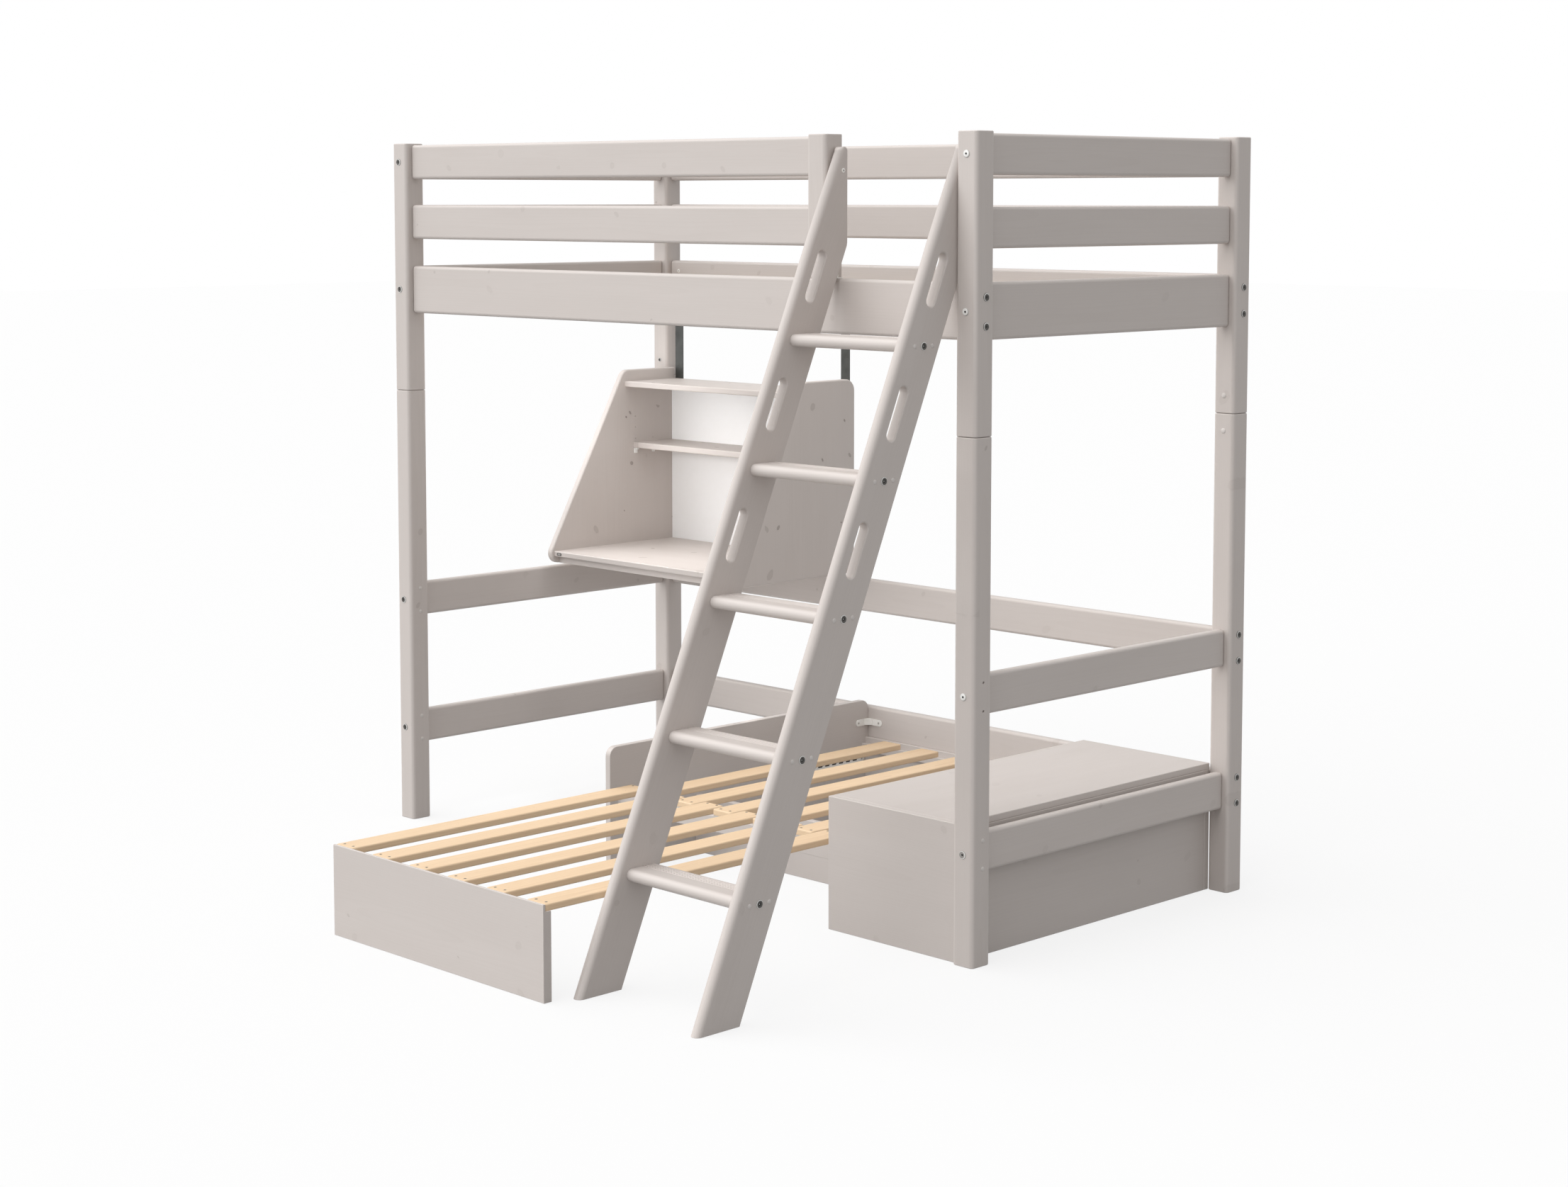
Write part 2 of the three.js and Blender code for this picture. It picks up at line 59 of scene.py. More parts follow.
def addCamera(s):
    data = bpy.data.cameras.new("studioCamera")
    data.sensor_fit = "HORIZONTAL"
    data.sensor_width = s["sensorWidth"]
    data.lens = s["focalPixels"] * s["sensorWidth"] / s["imageWidth"]
    data.shift_y = s["shiftY"]
    data.clip_end = s["clipEnd"]
    camera = bpy.data.objects.new("studioCamera", data)
    camera.location = s["place"]
    camera.rotation_euler = (math.radians(90 - s["tilt"]), 0, math.radians(s["turn"]))
    bpy.context.scene.collection.objects.link(camera)
    bpy.context.scene.camera = camera


addCamera(cameraSettings)
print("loft bed: camera set")


# Shader graphs. A Value is one socket: + - * / and ** on it add Math nodes.
class Value:
    def __init__(self, graph, socket):
        self.graph = graph
        self.socket = socket

    def maths(self, operation, first, second):
        return self.graph.node("ShaderNodeMath", {"operation": operation}, {0: first, 1: second})

    def __add__(self, other):
        return self.maths("ADD", self, other)

    def __radd__(self, other):
        return self.maths("ADD", other, self)

    def __sub__(self, other):
        return self.maths("SUBTRACT", self, other)

    def __rsub__(self, other):
        return self.maths("SUBTRACT", other, self)

    def __mul__(self, other):
        return self.maths("MULTIPLY", self, other)

    def __rmul__(self, other):
        return self.maths("MULTIPLY", other, self)

    def __truediv__(self, other):
        return self.maths("DIVIDE", self, other)

    def __pow__(self, other):
        return self.maths("POWER", self, other)

    def fraction(self):
        return self.maths("FRACT", self, 0)

    def above(self, limit):
        return self.maths("GREATER_THAN", self, limit)

    def clipped(self):
        return self.graph.node("ShaderNodeClamp", {}, {"Value": self})

    def split(self):
        return [self.graph.node("ShaderNodeSeparateXYZ", {}, {0: self}, k) for k in range(3)]


# The nodes of one material, or of the world.
class Graph:
    def __init__(self, owner):
        owner.use_nodes = True
        self.owner = owner
        self.tree = owner.node_tree

    # Makes one node: its settings first, then the values or links of its sockets.
    def node(self, kind, settings, inputs, output=0):
        made = self.tree.nodes.new(kind)
        for key, value in settings.items():
            setattr(made, key, value)
        for key, value in inputs.items():
            self.feed(made.inputs[key], value)
        return Value(self, made.outputs[output])

    def feed(self, socket, value):
        if isinstance(value, Value):
            self.tree.links.new(value.socket, socket)
        else:
            socket.default_value = value

    def blend(self, share, first, second):
        sockets = {"Factor": share, 6: first, 7: second}
        return self.node("ShaderNodeMix", {"data_type": "RGBA"}, sockets, 2)

    def noise(self, vector, scale, detail):
        sockets = {"Vector": vector, "Scale": scale, "Detail": detail, "Roughness": 0.55}
        return self.node("ShaderNodeTexNoise", {}, sockets)

    def join(self, x, y, z):
        return self.node("ShaderNodeCombineXYZ", {}, {0: x, 1: y, 2: z})

    def places(self):
        return self.node("ShaderNodeTexCoord", {}, {}, "Object")

    def bump(self, strength, distance, height):
        return self.node("ShaderNodeBump", {}, {"Strength": strength, "Distance": distance, "Height": height})

    # One for camera, glossy and transmission rays, which see the white studio; nought for the rest.
    def studioRays(self):
        kinds = ("Is Camera Ray", "Is Glossy Ray", "Is Transmission Ray")
        camera, glossy, clear = (self.node("ShaderNodeLightPath", {}, {}, kind) for kind in kinds)
        return (camera + glossy + clear).clipped()

    def set(self, **sockets):
        for key, value in sockets.items():
            self.feed(self.tree.nodes["Principled BSDF"].inputs[key.replace("_", " ")], value)
        return self.owner


def paint(red, green, blue):
    # A colour written as on a screen, 0 to 255, becomes linear light.
    values = np.array([red, green, blue]) / 255
    linear = np.where(values < 0.04045, values / 12.92, ((values + 0.055) / 1.055) ** 2.4)
    return (*linear.tolist(), 1.0)


# Finishes of the wood. Lengths are in metres; the shares say how strongly each trace shows.
woodLooks = {
    "washedPine": {
        "light": paint(208, 200, 195), "dark": paint(191, 182, 176), "late": paint(189, 179, 172),
        # The lighter edge colour, laid on the rounded edges, is a painted highlight.
        "knot": paint(160, 149, 142), "knotRim": paint(146, 134, 127), "edge": paint(220, 212, 207),
        "lateShare": 0.10, "fibreShare": 0.08, "cloudShare": 0.34, "knotShare": 0.24, "edgeShare": 0.5,
        "ringWidth": 0.0052, "knotSize": 0.0105, "knotCell": (0.21, 0.10), "knotGate": 0.7,
        "roughness": 0.5, "relief": 0.08,
    },
    "naturalPine": {
        "light": paint(240, 212, 177), "dark": paint(228, 197, 160), "late": paint(209, 172, 132),
        "knot": paint(164, 118, 80), "knotRim": paint(124, 82, 52), "edge": paint(233, 207, 176),
        "lateShare": 0.30, "fibreShare": 0.24, "cloudShare": 0.36, "knotShare": 0.42, "edgeShare": 0.4,
        "ringWidth": 0.0031, "knotSize": 0.0042, "knotCell": (0.34, 0.09), "knotGate": 0.78,
        "roughness": 0.58, "relief": 0.16,
    },
}
woodLooks["knottyPine"] = dict(
    woodLooks["washedPine"], knotShare=0.85, knotSize=0.0095, knotCell=(0.15, 0.09), knotGate=0.62,
    knot=paint(150, 139, 132), knotRim=paint(128, 116, 108),
)
woodLooks["postPine"] = dict(woodLooks["washedPine"], knotShare=0.36, knotSize=0.0125, knotGate=0.6)

# What all the woods share. A scale is along the grain and across it, and the drift of the knots from
# board to board is across the board and through it. Other pairs are read as first + second * value.
woodTraces = {
    "boardShift": 3.71, "fibreScale": (9, 420), "cloudScale": (2.2, 15), "swayScale": (1.3, 3),
    "ringShift": 0.03, "ringSway": 0.03, "pith": (0.035, 0.02), "knotBend": 0.75, "fibreFrom": 0.42,
    "fibreGain": 3.0, "haloShare": 0.22, "rimShare": 0.6, "bumpDepth": 0.0006, "glossShare": 0.14,
    "cellDrift": (0.37, 0.61), "cellDepth": 0.3, "cellShare": 0.62, "knotLength": 1.55, "knotSlant": 1.3,
    "waverScale": 60, "waver": (0.65, 0.7), "girth": (0.22, 1.1), "coreEdge": 0.45, "haloReach": 2.6,
    "smallDark": (0.3, 1.1),
}


# Knots are branches through the board: discs about scattered points, leaned a little and seen end on.
# A core is clip((radius - distance) / (edge * radius)), and a halo fades out at its reach in radii.
def knots(g, s, along, across, through, seed):
    length, width = s["knotCell"]
    drift, deepDrift = s["cellDrift"]
    deep = through * s["cellDepth"] + seed * deepDrift
    cell = g.join(along / length, across / width + seed * drift, deep)
    nearest = g.node("ShaderNodeTexVoronoi", {}, {"Vector": cell, "Scale": 1.0}, "Position")
    fate = g.node("ShaderNodeTexVoronoi", {}, {"Vector": cell, "Scale": 1.0}, "Color")
    offset = g.node("ShaderNodeVectorMath", {"operation": "SUBTRACT"}, {0: cell, 1: nearest}).split()
    alongOff, acrossOff = offset[0] * (length * s["cellShare"]), offset[1] * width
    chance, girth, slant = fate.split()
    waver = g.noise(g.join(*(axis * s["waverScale"] for axis in (along, across, through))), 1.0, 1.0)
    leaned = alongOff * s["knotLength"] + acrossOff * (slant - 0.5) * s["knotSlant"]
    base, gain = s["waver"]
    distance = (leaned ** 2 + acrossOff ** 2) ** 0.5 * (base + waver * gain)
    base, gain = s["girth"]
    radius = s["knotSize"] * (base + girth * gain)
    present = chance.above(s["knotGate"])
    core = ((radius - distance) / (radius * s["coreEdge"])).clipped() * present
    reach = s["haloReach"]
    halo = ((radius * reach - distance) / (radius * reach)).clipped() * present
    base, gain = s["smallDark"]
    strength = s["knotShare"] * (base + (1.0 - girth) ** 2.0 * gain)
    return core, halo, acrossOff, strength


# One board's wood. Growth rings are cylinders about a pith below the board, bent round the knots: late
# wood darkens as fract(distance / width) ** 3. Fibres and clouds are noise drawn out along the grain.
def wood(look, name, middle, order, seed, lean=0.0):
    s = woodTraces | woodLooks[look]
    g = Graph(bpy.data.materials.new(name))
    centred = g.node("ShaderNodeVectorMath", {"operation": "SUBTRACT"}, {0: g.places(), 1: tuple(middle)})
    turned = g.node("ShaderNodeMapping", {}, {"Vector": centred, "Rotation": (lean, 0, 0)})
    axes = turned.split()
    along, across, through = (axes[k] for k in order)
    along = along + seed * s["boardShift"]  # each board is cut from another length of wood
    core, halo, acrossOff, strength = knots(g, s, along, across, through, seed)
    bent = across - acrossOff * halo * s["knotBend"]
    lengthwise, crosswise = s["swayScale"]
    sway = g.noise(g.join(along * lengthwise, across * crosswise, seed * 1.7), 1.0, 1.0)
    base, gain = s["pith"]
    pith = base + gain * math.sin(seed * 2.3)
    off = bent + s["ringShift"] * math.sin(seed)
    rings = (off ** 2 + (through + pith + sway * s["ringSway"]) ** 2) ** 0.5
    late = (rings / s["ringWidth"]).fraction() ** 3.0
    fibre, cloud = (
        g.noise(g.join(along * lengthwise, bent * crosswise, through * crosswise), 1.0, 3.0)
        for lengthwise, crosswise in (s["fibreScale"], s["cloudScale"]))
    rim = (core * (1.0 - core) * 4.0).clipped()
    edge = g.node("ShaderNodeAttribute", {"attribute_name": "edge"}, {}, "Fac")
    body = g.blend(cloud.clipped() * s["cloudShare"], s["light"], s["dark"])
    body = g.blend(late * s["lateShare"], body, s["late"])
    grain = ((fibre - s["fibreFrom"]) * s["fibreGain"]).clipped()
    body = g.blend(grain * s["fibreShare"], body, s["late"])
    # Rounded edges take the look's edge colour; on washed pine it is a painted highlight.
    body = g.blend(edge * s["edgeShare"], body, s["edge"])
    body = g.blend(halo * halo * strength * s["haloShare"], body, s["knot"])
    body = g.blend(core * strength, body, s["knot"])
    body = g.blend(rim * strength * s["rimShare"], body, s["knotRim"])
    bump = g.bump(s["relief"], s["bumpDepth"], fibre * 0.6 + late * 0.3 - core * 0.25)
    gloss = s["roughness"] + (cloud - 0.5) * s["glossShare"]
    return g.set(Base_Color=body, Roughness=gloss, Normal=bump)


# Board, metal and plastic: a base colour clouded by handling marks, with fine scratches in the gloss.
plainLooks = {
    "whiteBoard": {"colour": paint(252, 252, 252), "mark": paint(247, 247, 246), "metal": 0.0,
                   "rough": 0.42, "wear": 0.4},
    "slatSpacer": {"colour": paint(206, 196, 184), "mark": paint(190, 180, 168), "metal": 0.0, "rough": 0.8},
    "darkSteel": {"colour": paint(74, 76, 74), "mark": paint(58, 60, 59), "metal": 0.35, "rough": 0.48},
    "whiteMetal": {"colour": paint(251, 249, 245), "mark": paint(240, 237, 231), "metal": 0.0, "rough": 0.3},
    "screwZinc": {"colour": paint(214, 210, 204), "mark": paint(188, 184, 178), "metal": 0.3, "rough": 0.35},
    "boltFace": {"colour": paint(78, 75, 71), "mark": paint(66, 63, 60), "metal": 0.3, "rough": 0.34},
    "boltGrey": {"colour": paint(158, 154, 150), "mark": paint(142, 138, 134), "metal": 0.3, "rough": 0.34},
    # The next white is the shelf pegs' own colour, and on the bolts a painted highlight and painted reflection.
    "whiteAndPaintedGlint": {"colour": paint(246, 245, 242), "mark": paint(236, 234, 231), "metal": 0.0, "rough": 0.25},
    "boltShade": {"colour": paint(186, 183, 179), "mark": paint(172, 168, 164), "metal": 0.2, "rough": 0.34},
    # Painted shade: this dark fills the shallow bolt sockets, the screw cross recesses and the runner slots.
    "paintedRecessShade": {"colour": paint(46, 44, 42), "mark": paint(30, 29, 28), "metal": 0.0, "rough": 0.6},
    "plugPlastic": {"colour": paint(213, 207, 203), "mark": paint(203, 196, 191), "metal": 0.0,
                    "rough": 0.35},
    "screwSteel": {"colour": paint(172, 158, 140), "mark": paint(142, 128, 110), "metal": 0.4, "rough": 0.4},
}
plainTraces = {"cloudScale": 38.0, "scratchScale": 900.0, "wear": 0.8, "relief": 0.08, "depth": 0.0003}


def plain(look):
    if look in bpy.data.materials:
        return bpy.data.materials[look]
    s = plainTraces | plainLooks[look]
    g = Graph(bpy.data.materials.new(look))
    cloud = g.noise(g.places(), s["cloudScale"], 3.0)
    scratch = g.noise(g.places(), s["scratchScale"], 2.0)
    body = g.blend(((cloud - 0.4) * 3.0).clipped() * s["wear"], s["colour"], s["mark"])
    rough = s["rough"] + (scratch - 0.5) * 0.2 + (cloud - 0.5) * 0.1
    bump = g.bump(s["relief"], s["depth"], scratch)
    return g.set(Base_Color=body, Metallic=s["metal"], Roughness=rough, Normal=bump)


print("loft bed: finishes ready")

surfaceSettings = {
    "splitScale": 1000,  # flat faces are split in millimetres, or small rounds would be merged
    "cornerSteps": 7,
    "endSteps": 4,
    "boreSides": 32,
    "edgeTurn": 0.29,  # about 1 - cos 45 degrees, the most that an edge turns from a board's sides
    "plateCornerSteps": 8,
    "plateEndSteps": 2,
    "sharpAngle": 38,
}


# Surfaces. A Skin gathers rings of points with their normals, and the faces between them.
class Skin:
    def __init__(self):
        self.points = []
        self.normals = []
        self.faces = []
        self.facings = []
        self.count = 0

    def ring(self, points, normals):
        self.points.append(np.asarray(points, float))
        self.normals.append(np.broadcast_to(np.asarray(normals, float), self.points[-1].shape))
        self.count += len(self.points[-1])
        return np.arange(self.count - len(self.points[-1]), self.count)

    # Four-sided faces between two closed rings of as many points; open lists the sides left out.
    def bridge(self, first, second, open=()):
        quads = np.stack([first, np.roll(first, -1), np.roll(second, -1), second], axis=1)
        quads = np.delete(quads, list(open), axis=0)
        self.faces += quads.tolist()
        self.facings += [(0, 0, 0)] * len(quads)

    # One flat face inside a loop, round the outer rings of any holes in it.
    def flat(self, loop, facing, holes=()):
        if not holes:
            self.faces.append(np.asarray(loop).tolist())
            self.facings.append(tuple(facing))
            return
        places, scale = np.concatenate(self.points), surfaceSettings["splitScale"]
        loops = [np.asarray(loop), *holes]
        triangles = tessellate_polygon([[Vector(p) * scale for p in places[ids]] for ids in loops])
        ids = np.concatenate(loops)[np.array(triangles)]
        self.faces += ids.tolist()
        self.facings += [tuple(facing)] * len(ids)

    # Every face is turned to look the way of its flat facing, or of the sum of its points' normals.
    # The edge attribute says how far a point's normal turns from the board's own axes.
    def mesh(self, name, axes=np.eye(3)):
        points, normals = np.concatenate(self.points), np.concatenate(self.normals)
        facings = np.array(self.facings, float)
        sizes = np.array([len(face) for face in self.faces])
        starts = np.cumsum(sizes) - sizes
        corners = np.concatenate(self.faces)
        following = np.arange(len(corners)) + 1
        following[starts + sizes - 1] = starts
        area = np.add.reduceat(np.cross(points[corners], points[corners[following]]), starts)
        isFlat = np.abs(facings).sum(1) > 0
        wanted = np.where(isFlat[:, None], facings, np.add.reduceat(normals[corners], starts))
        turned = (area * wanted).sum(1) < 0
        faces = [face[::-1] if back else face for face, back in zip(self.faces, turned)]
        made = bpy.data.meshes.new(name)
        made.from_pydata(points.tolist(), [], faces, shade_flat=False)
        cornerNormals = normals[np.concatenate(faces)]
        spread = np.repeat(isFlat, sizes)
        cornerNormals = np.where(spread[:, None], np.repeat(facings, sizes, axis=0), cornerNormals)
        made.polygons.foreach_set("use_smooth", ~isFlat)
        made.normals_split_custom_set(cornerNormals.tolist())
        edge = made.attributes.new("edge", "FLOAT", "POINT")
        leftOver = (1 - np.abs(normals @ axes.T).max(1)) / surfaceSettings["edgeTurn"]
        edge.data.foreach_set("value", np.clip(leftOver, 0, 1).astype(np.float32))
        return made


# A closed outline with round corners: centre + radius * (cos a, sin a), a turning from one edge's
# normal to the next one's. The corners run anticlockwise; a hollow corner turns the other way.
def roundedOutline(corners, radii, steps=surfaceSettings["cornerSteps"]):
    corners = np.asarray(corners, float)
    ahead = np.roll(corners, -1, 0) - corners
    after = np.stack([ahead[:, 1], -ahead[:, 0]], 1) / np.linalg.norm(ahead, axis=1)[:, None]
    before = np.roll(after, 1, 0)
    start = np.arctan2(before[:, 1], before[:, 0])
    turn = (np.arctan2(after[:, 1], after[:, 0]) - start + np.pi) % (2 * np.pi) - np.pi
    radius = np.broadcast_to(radii, len(corners)) * np.sign(turn)
    centre = corners - (before + after) * (radius / (1 + (before * after).sum(1)))[:, None]
    angle = start[:, None] + turn[:, None] * np.linspace(0, 1, steps + 1)
    normals = np.stack([np.cos(angle), np.sin(angle)], -1)
    points = centre[:, None] + radius[:, None, None] * normals
    return points.reshape(-1, 2), normals.reshape(-1, 2)


def rectangle(low, high, radius, steps=surfaceSettings["cornerSteps"]):
    corners = [(low[0], low[1]), (high[0], low[1]), (high[0], high[1]), (low[0], high[1])]
    return roundedOutline(corners, radius, steps)


# The straight side after corner k starts at the last point of that corner's arc.
def sideStart(k, steps=surfaceSettings["cornerSteps"]):
    return k * (steps + 1) + steps


def axesBut(along):
    return [k for k in range(3) if k != along]


# An outline carried along an axis, its ends rounded over: at angle t the section is drawn in by
# round * (1 - sin t) and stands round * (1 - cos t) from the end. Holes are listed by side or by end.
def carry(skin, outline, along, span, endRound, sideHoles=None, capHoles=((), ()),
          steps=surfaceSettings["endSteps"]):
    points, normals = outline
    others = axesBut(along)
    angles = np.linspace(0, np.pi / 2, steps + 1)
    rings = []
    for end, way in ((0, 1), (1, -1)):
        for t in angles[::way]:
            place = np.zeros((len(points), 3))
            facing = np.zeros((len(points), 3))
            place[:, others] = points - normals * endRound * (1 - math.sin(t))
            place[:, along] = span[end] + way * endRound * (1 - math.cos(t))
            facing[:, others] = normals * math.sin(t)
            facing[:, along] = -way * math.cos(t)
            rings.append(skin.ring(place, facing))
    sideHoles = sideHoles or {}
    for k in range(len(rings) - 1):
        skin.bridge(rings[k], rings[k + 1], sideHoles if k == steps else ())
    for side, holes in sideHoles.items():
        a, b = rings[steps], rings[steps + 1]
        following = (side + 1) % len(a)
        facing = np.zeros(3)
        facing[others] = normals[side]
        skin.flat([a[side], a[following], b[following], b[side]], facing, holes)
    ends = np.zeros((2, 3))
    ends[:, along] = (-1, 1)
    skin.flat(rings[0], ends[0], capHoles[0])
    skin.flat(rings[-1], ends[1], capHoles[1])


# A hole with a rounded lip: radius + lip * (1 - sin t) at depth lip * (1 - cos t). Its outline is a
# circle drawn out along the direction by the stretch. Returns the lip's outer ring, one per mouth.
def bore(skin, centre, facing, radius, depth, lip=0.0006, stretch=0.0, direction=(0, 0, 1), through=False):
    centre, facing, direction = (np.asarray(v, float) for v in (centre, facing, direction))
    side = np.cross(facing, direction)
    count = surfaceSettings["boreSides"]
    angle = (np.arange(count) * 2 + 1) * np.pi / count
    radial = np.outer(np.cos(angle), direction) + np.outer(np.sin(angle), side)
    middle = centre + np.outer(np.sign(np.cos(angle)) * stretch, direction)

    def mouth(face, outward):
        rings = []
        for t in np.linspace(0, np.pi / 2, surfaceSettings["endSteps"] + 1):
            wide, deep = radius + lip * (1 - math.sin(t)), lip * (1 - math.cos(t))
            place = middle + radial * wide + face - outward * deep
            rings.append(skin.ring(place, outward * math.cos(t) - radial * math.sin(t)))
        for first, second in zip(rings, rings[1:]):
            skin.bridge(first, second)
        return rings

    near = mouth(0, facing)
    if through:
        far = mouth(-facing * depth, -facing)
        skin.bridge(near[-1], far[-1])
        return near[0], far[0]
    floor = skin.ring(middle + radial * radius - facing * depth, -radial)
    skin.bridge(near[-1], floor)
    skin.flat(floor, facing)
    return near[0]


# Pieces
def addPiece(name, mesh, materials, body, replaces=()):
    for material in materials:
        mesh.materials.append(material)
    piece = bpy.data.objects.new(name, mesh)
    bpy.context.scene.collection.objects.link(piece)
    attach(piece, body)
    if replaces:
        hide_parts(*replaces)
    return piece


timberCount = 0


# The grain runs along one axis; the thinnest of the other two is the way through the board.
def timber(name, skin, look, along, body, replaces=(), lean=0.0):
    global timberCount
    timberCount += 1
    points = np.concatenate(skin.points)
    size = np.ptp(points, axis=0)
    middle = (points.min(0) + points.max(0)) / 2
    across, through = sorted(axesBut(along), key=lambda k: -size[k])
    c, s = math.cos(lean), math.sin(lean)
    axes = np.array([[1, 0, 0], [0, c, -s], [0, s, c]])
    material = wood(look, name + "_wood", middle, (along, across, through), timberCount, lean)
    slot = "natural_pine" if look == "naturalPine" else "washed_pine"
    return addPiece(name, skin.mesh(name, axes), [material], body, replaces)


# A straight piece of wood that fills a box.
def bar(name, look, along, low, high, cornerRound, endRound, body="frame", replaces=(), drill=None):
    others = axesBut(along)
    skin = Skin()
    outline = rectangle([low[k] for k in others], [high[k] for k in others], cornerRound)
    carry(skin, outline, along, (low[along], high[along]), endRound, drill(skin) if drill else None)
    return timber(name, skin, look, along, body, replaces)


def barOf(node, look, along, cornerRound, endRound, body="frame"):
    low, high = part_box(node)
    return bar(node + "_wood", look, along, low, high, cornerRound, endRound, body, (node,))


# A flat plate with soft edges; its corners may be as round as half its height.
def plate(name, look, low, high, thin, edge, slot, body="frame", replaces=(), corner=0.0004):
    others = axesBut(thin)
    skin = Skin()
    ends = [[end[k] for k in others] for end in (low, high)]
    outline = rectangle(*ends, max(edge, corner), surfaceSettings["plateCornerSteps"])
    carry(skin, outline, thin, (low[thin], high[thin]), edge, steps=surfaceSettings["plateEndSteps"])
    return addPiece(name, skin.mesh(name), [plain(look)], body, replaces)


# Posts. The front right one has two bolt holes in its right side.
postSettings = {
    "round": 0.010, "endRound": 0.0025, "jointGap": 0.0009,
    "holeLevels": (0.638, 0.574), "holeInset": 0.033, "holeRadius": 0.003, "holeDepth": 0.012,
}


def makePosts(s):
    low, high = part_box("front_right_post_lower")
    places = [(high[0], low[1] + s["holeInset"], z) for z in s["holeLevels"]]

    def drill(skin):
        return {sideStart(1): [bore(skin, p, (1, 0, 0), s["holeRadius"], s["holeDepth"]) for p in places]}

    for row in ("front", "back"):
        for column in ("left", "right"):
            for section in ("lower", "upper"):
                node = f"{row}_{column}_post_{section}"
                low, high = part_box(node)
                if section == "lower":
                    high[2] -= s["jointGap"]
                holes = drill if node == "front_right_post_lower" else None
                size = (low, high, s["round"], s["endRound"])
                bar(node + "_wood", "postPine", 2, *size, "frame", (node,), holes)
    barOf("short_ladder_post", "postPine", 2, s["round"], s["endRound"])


makePosts(postSettings)
print("loft bed: posts")

# Rails
railSettings = {"round": 0.008, "endRound": 0.006}


def makeRails(s):
    for level in ("top_guard", "low_guard", "bed_rail", "mid_rail", "low_rail"):
        for side, along in (("front", 0), ("back", 0), ("left", 1), ("right", 1)):
            node = f"{side}_{level}"
            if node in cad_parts:
                barOf(node, "washedPine", along, s["round"], s["endRound"])


makeRails(railSettings)
print("loft bed: rails")

# Ladder
ladderSettings = {
    "lean": math.radians(23.5),
    "width": 0.111,
    "nose": 0.0131,
    "backRound": 0.0025,
    "headRound": 0.009,
    "footRound": 0.0008,
    "topRound": 0.0009,
    "cutSoft": 0.004,
    "cornerSteps": 12,
    "headSteps": 8,
    "capSteps": 4,
    "headFill": 0.98,  # the most of a section's depth that its rounds may take up
    "gripCount": 3,
    "gripRadius": 0.0130,
    "gripStraight": 0.0486,
    "gripLip": 0.0042,
    "gripForward": 0.010,
    "treadNose": 0.01395,
    "treadBack": 0.003,
    "treadSteps": 8,
    "treadEnd": 0.0001,
    "grooveCount": 4,
    "groovePitch": 0.008,
    "grooveWidth": 0.005,
    "grooveSlope": 0.0010,
    "grooveDepth": 0.0021,
    "grooveInset": 0.009,
    "grooveRound": 0.0003,
}
stepNodes = [f"ladder_step_{k + 1}" for k in range(5)]
stepCentres = [(low + high) / 2 for low, high in map(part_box, stepNodes)]


# A stile is a stack of level sections. At height z its front edge stands at foot + z * tan(lean), and
# its back edge one run behind, but never behind the rail. Near the top both draw in along an arc of
# radius r: the back by r * (1 - sqrt(1 - rise ** 2)), and the front about a centre one arc behind it.
def stileLevels(s, low, high):
    slope = math.tan(s["lean"])
    run = s["width"] / math.cos(s["lean"])
    foot, top, r = low[1], high[2], s["headRound"]
    cut = (high[1] - foot - run) / slope
    arc = np.linspace(0, np.pi / 2, s["headSteps"])
    z = np.concatenate([[0, cut - s["cutSoft"], cut + s["cutSoft"]], top - r * (1 - np.sin(arc))])
    front, frontSlope = foot + z * slope, np.full(len(z), slope)
    back, backSlope = np.minimum(foot + run + z * slope, high[1]), np.where(z < cut, slope, 0.0)
    rise = np.clip((z - (top - r)) / r, 0, 0.999)
    back = back - r * (1 - np.sqrt(1 - rise ** 2))
    backSlope = np.where(rise > 0, -rise / np.sqrt(1 - rise ** 2), backSlope)
    sine = math.sin(s["lean"])
    bend = np.clip((z - (top - r)) / r, -sine, 0.999)
    centre = foot + top * slope + r * (1 + sine) / math.cos(s["lean"]) - r * slope
    onArc = z > top - r * (1 + sine)
    front = np.where(onArc, centre - r * np.sqrt(1 - bend ** 2), front)
    frontSlope = np.where(onArc, bend / np.sqrt(1 - bend ** 2), frontSlope)
    return z, front, back, frontSlope, backSlope


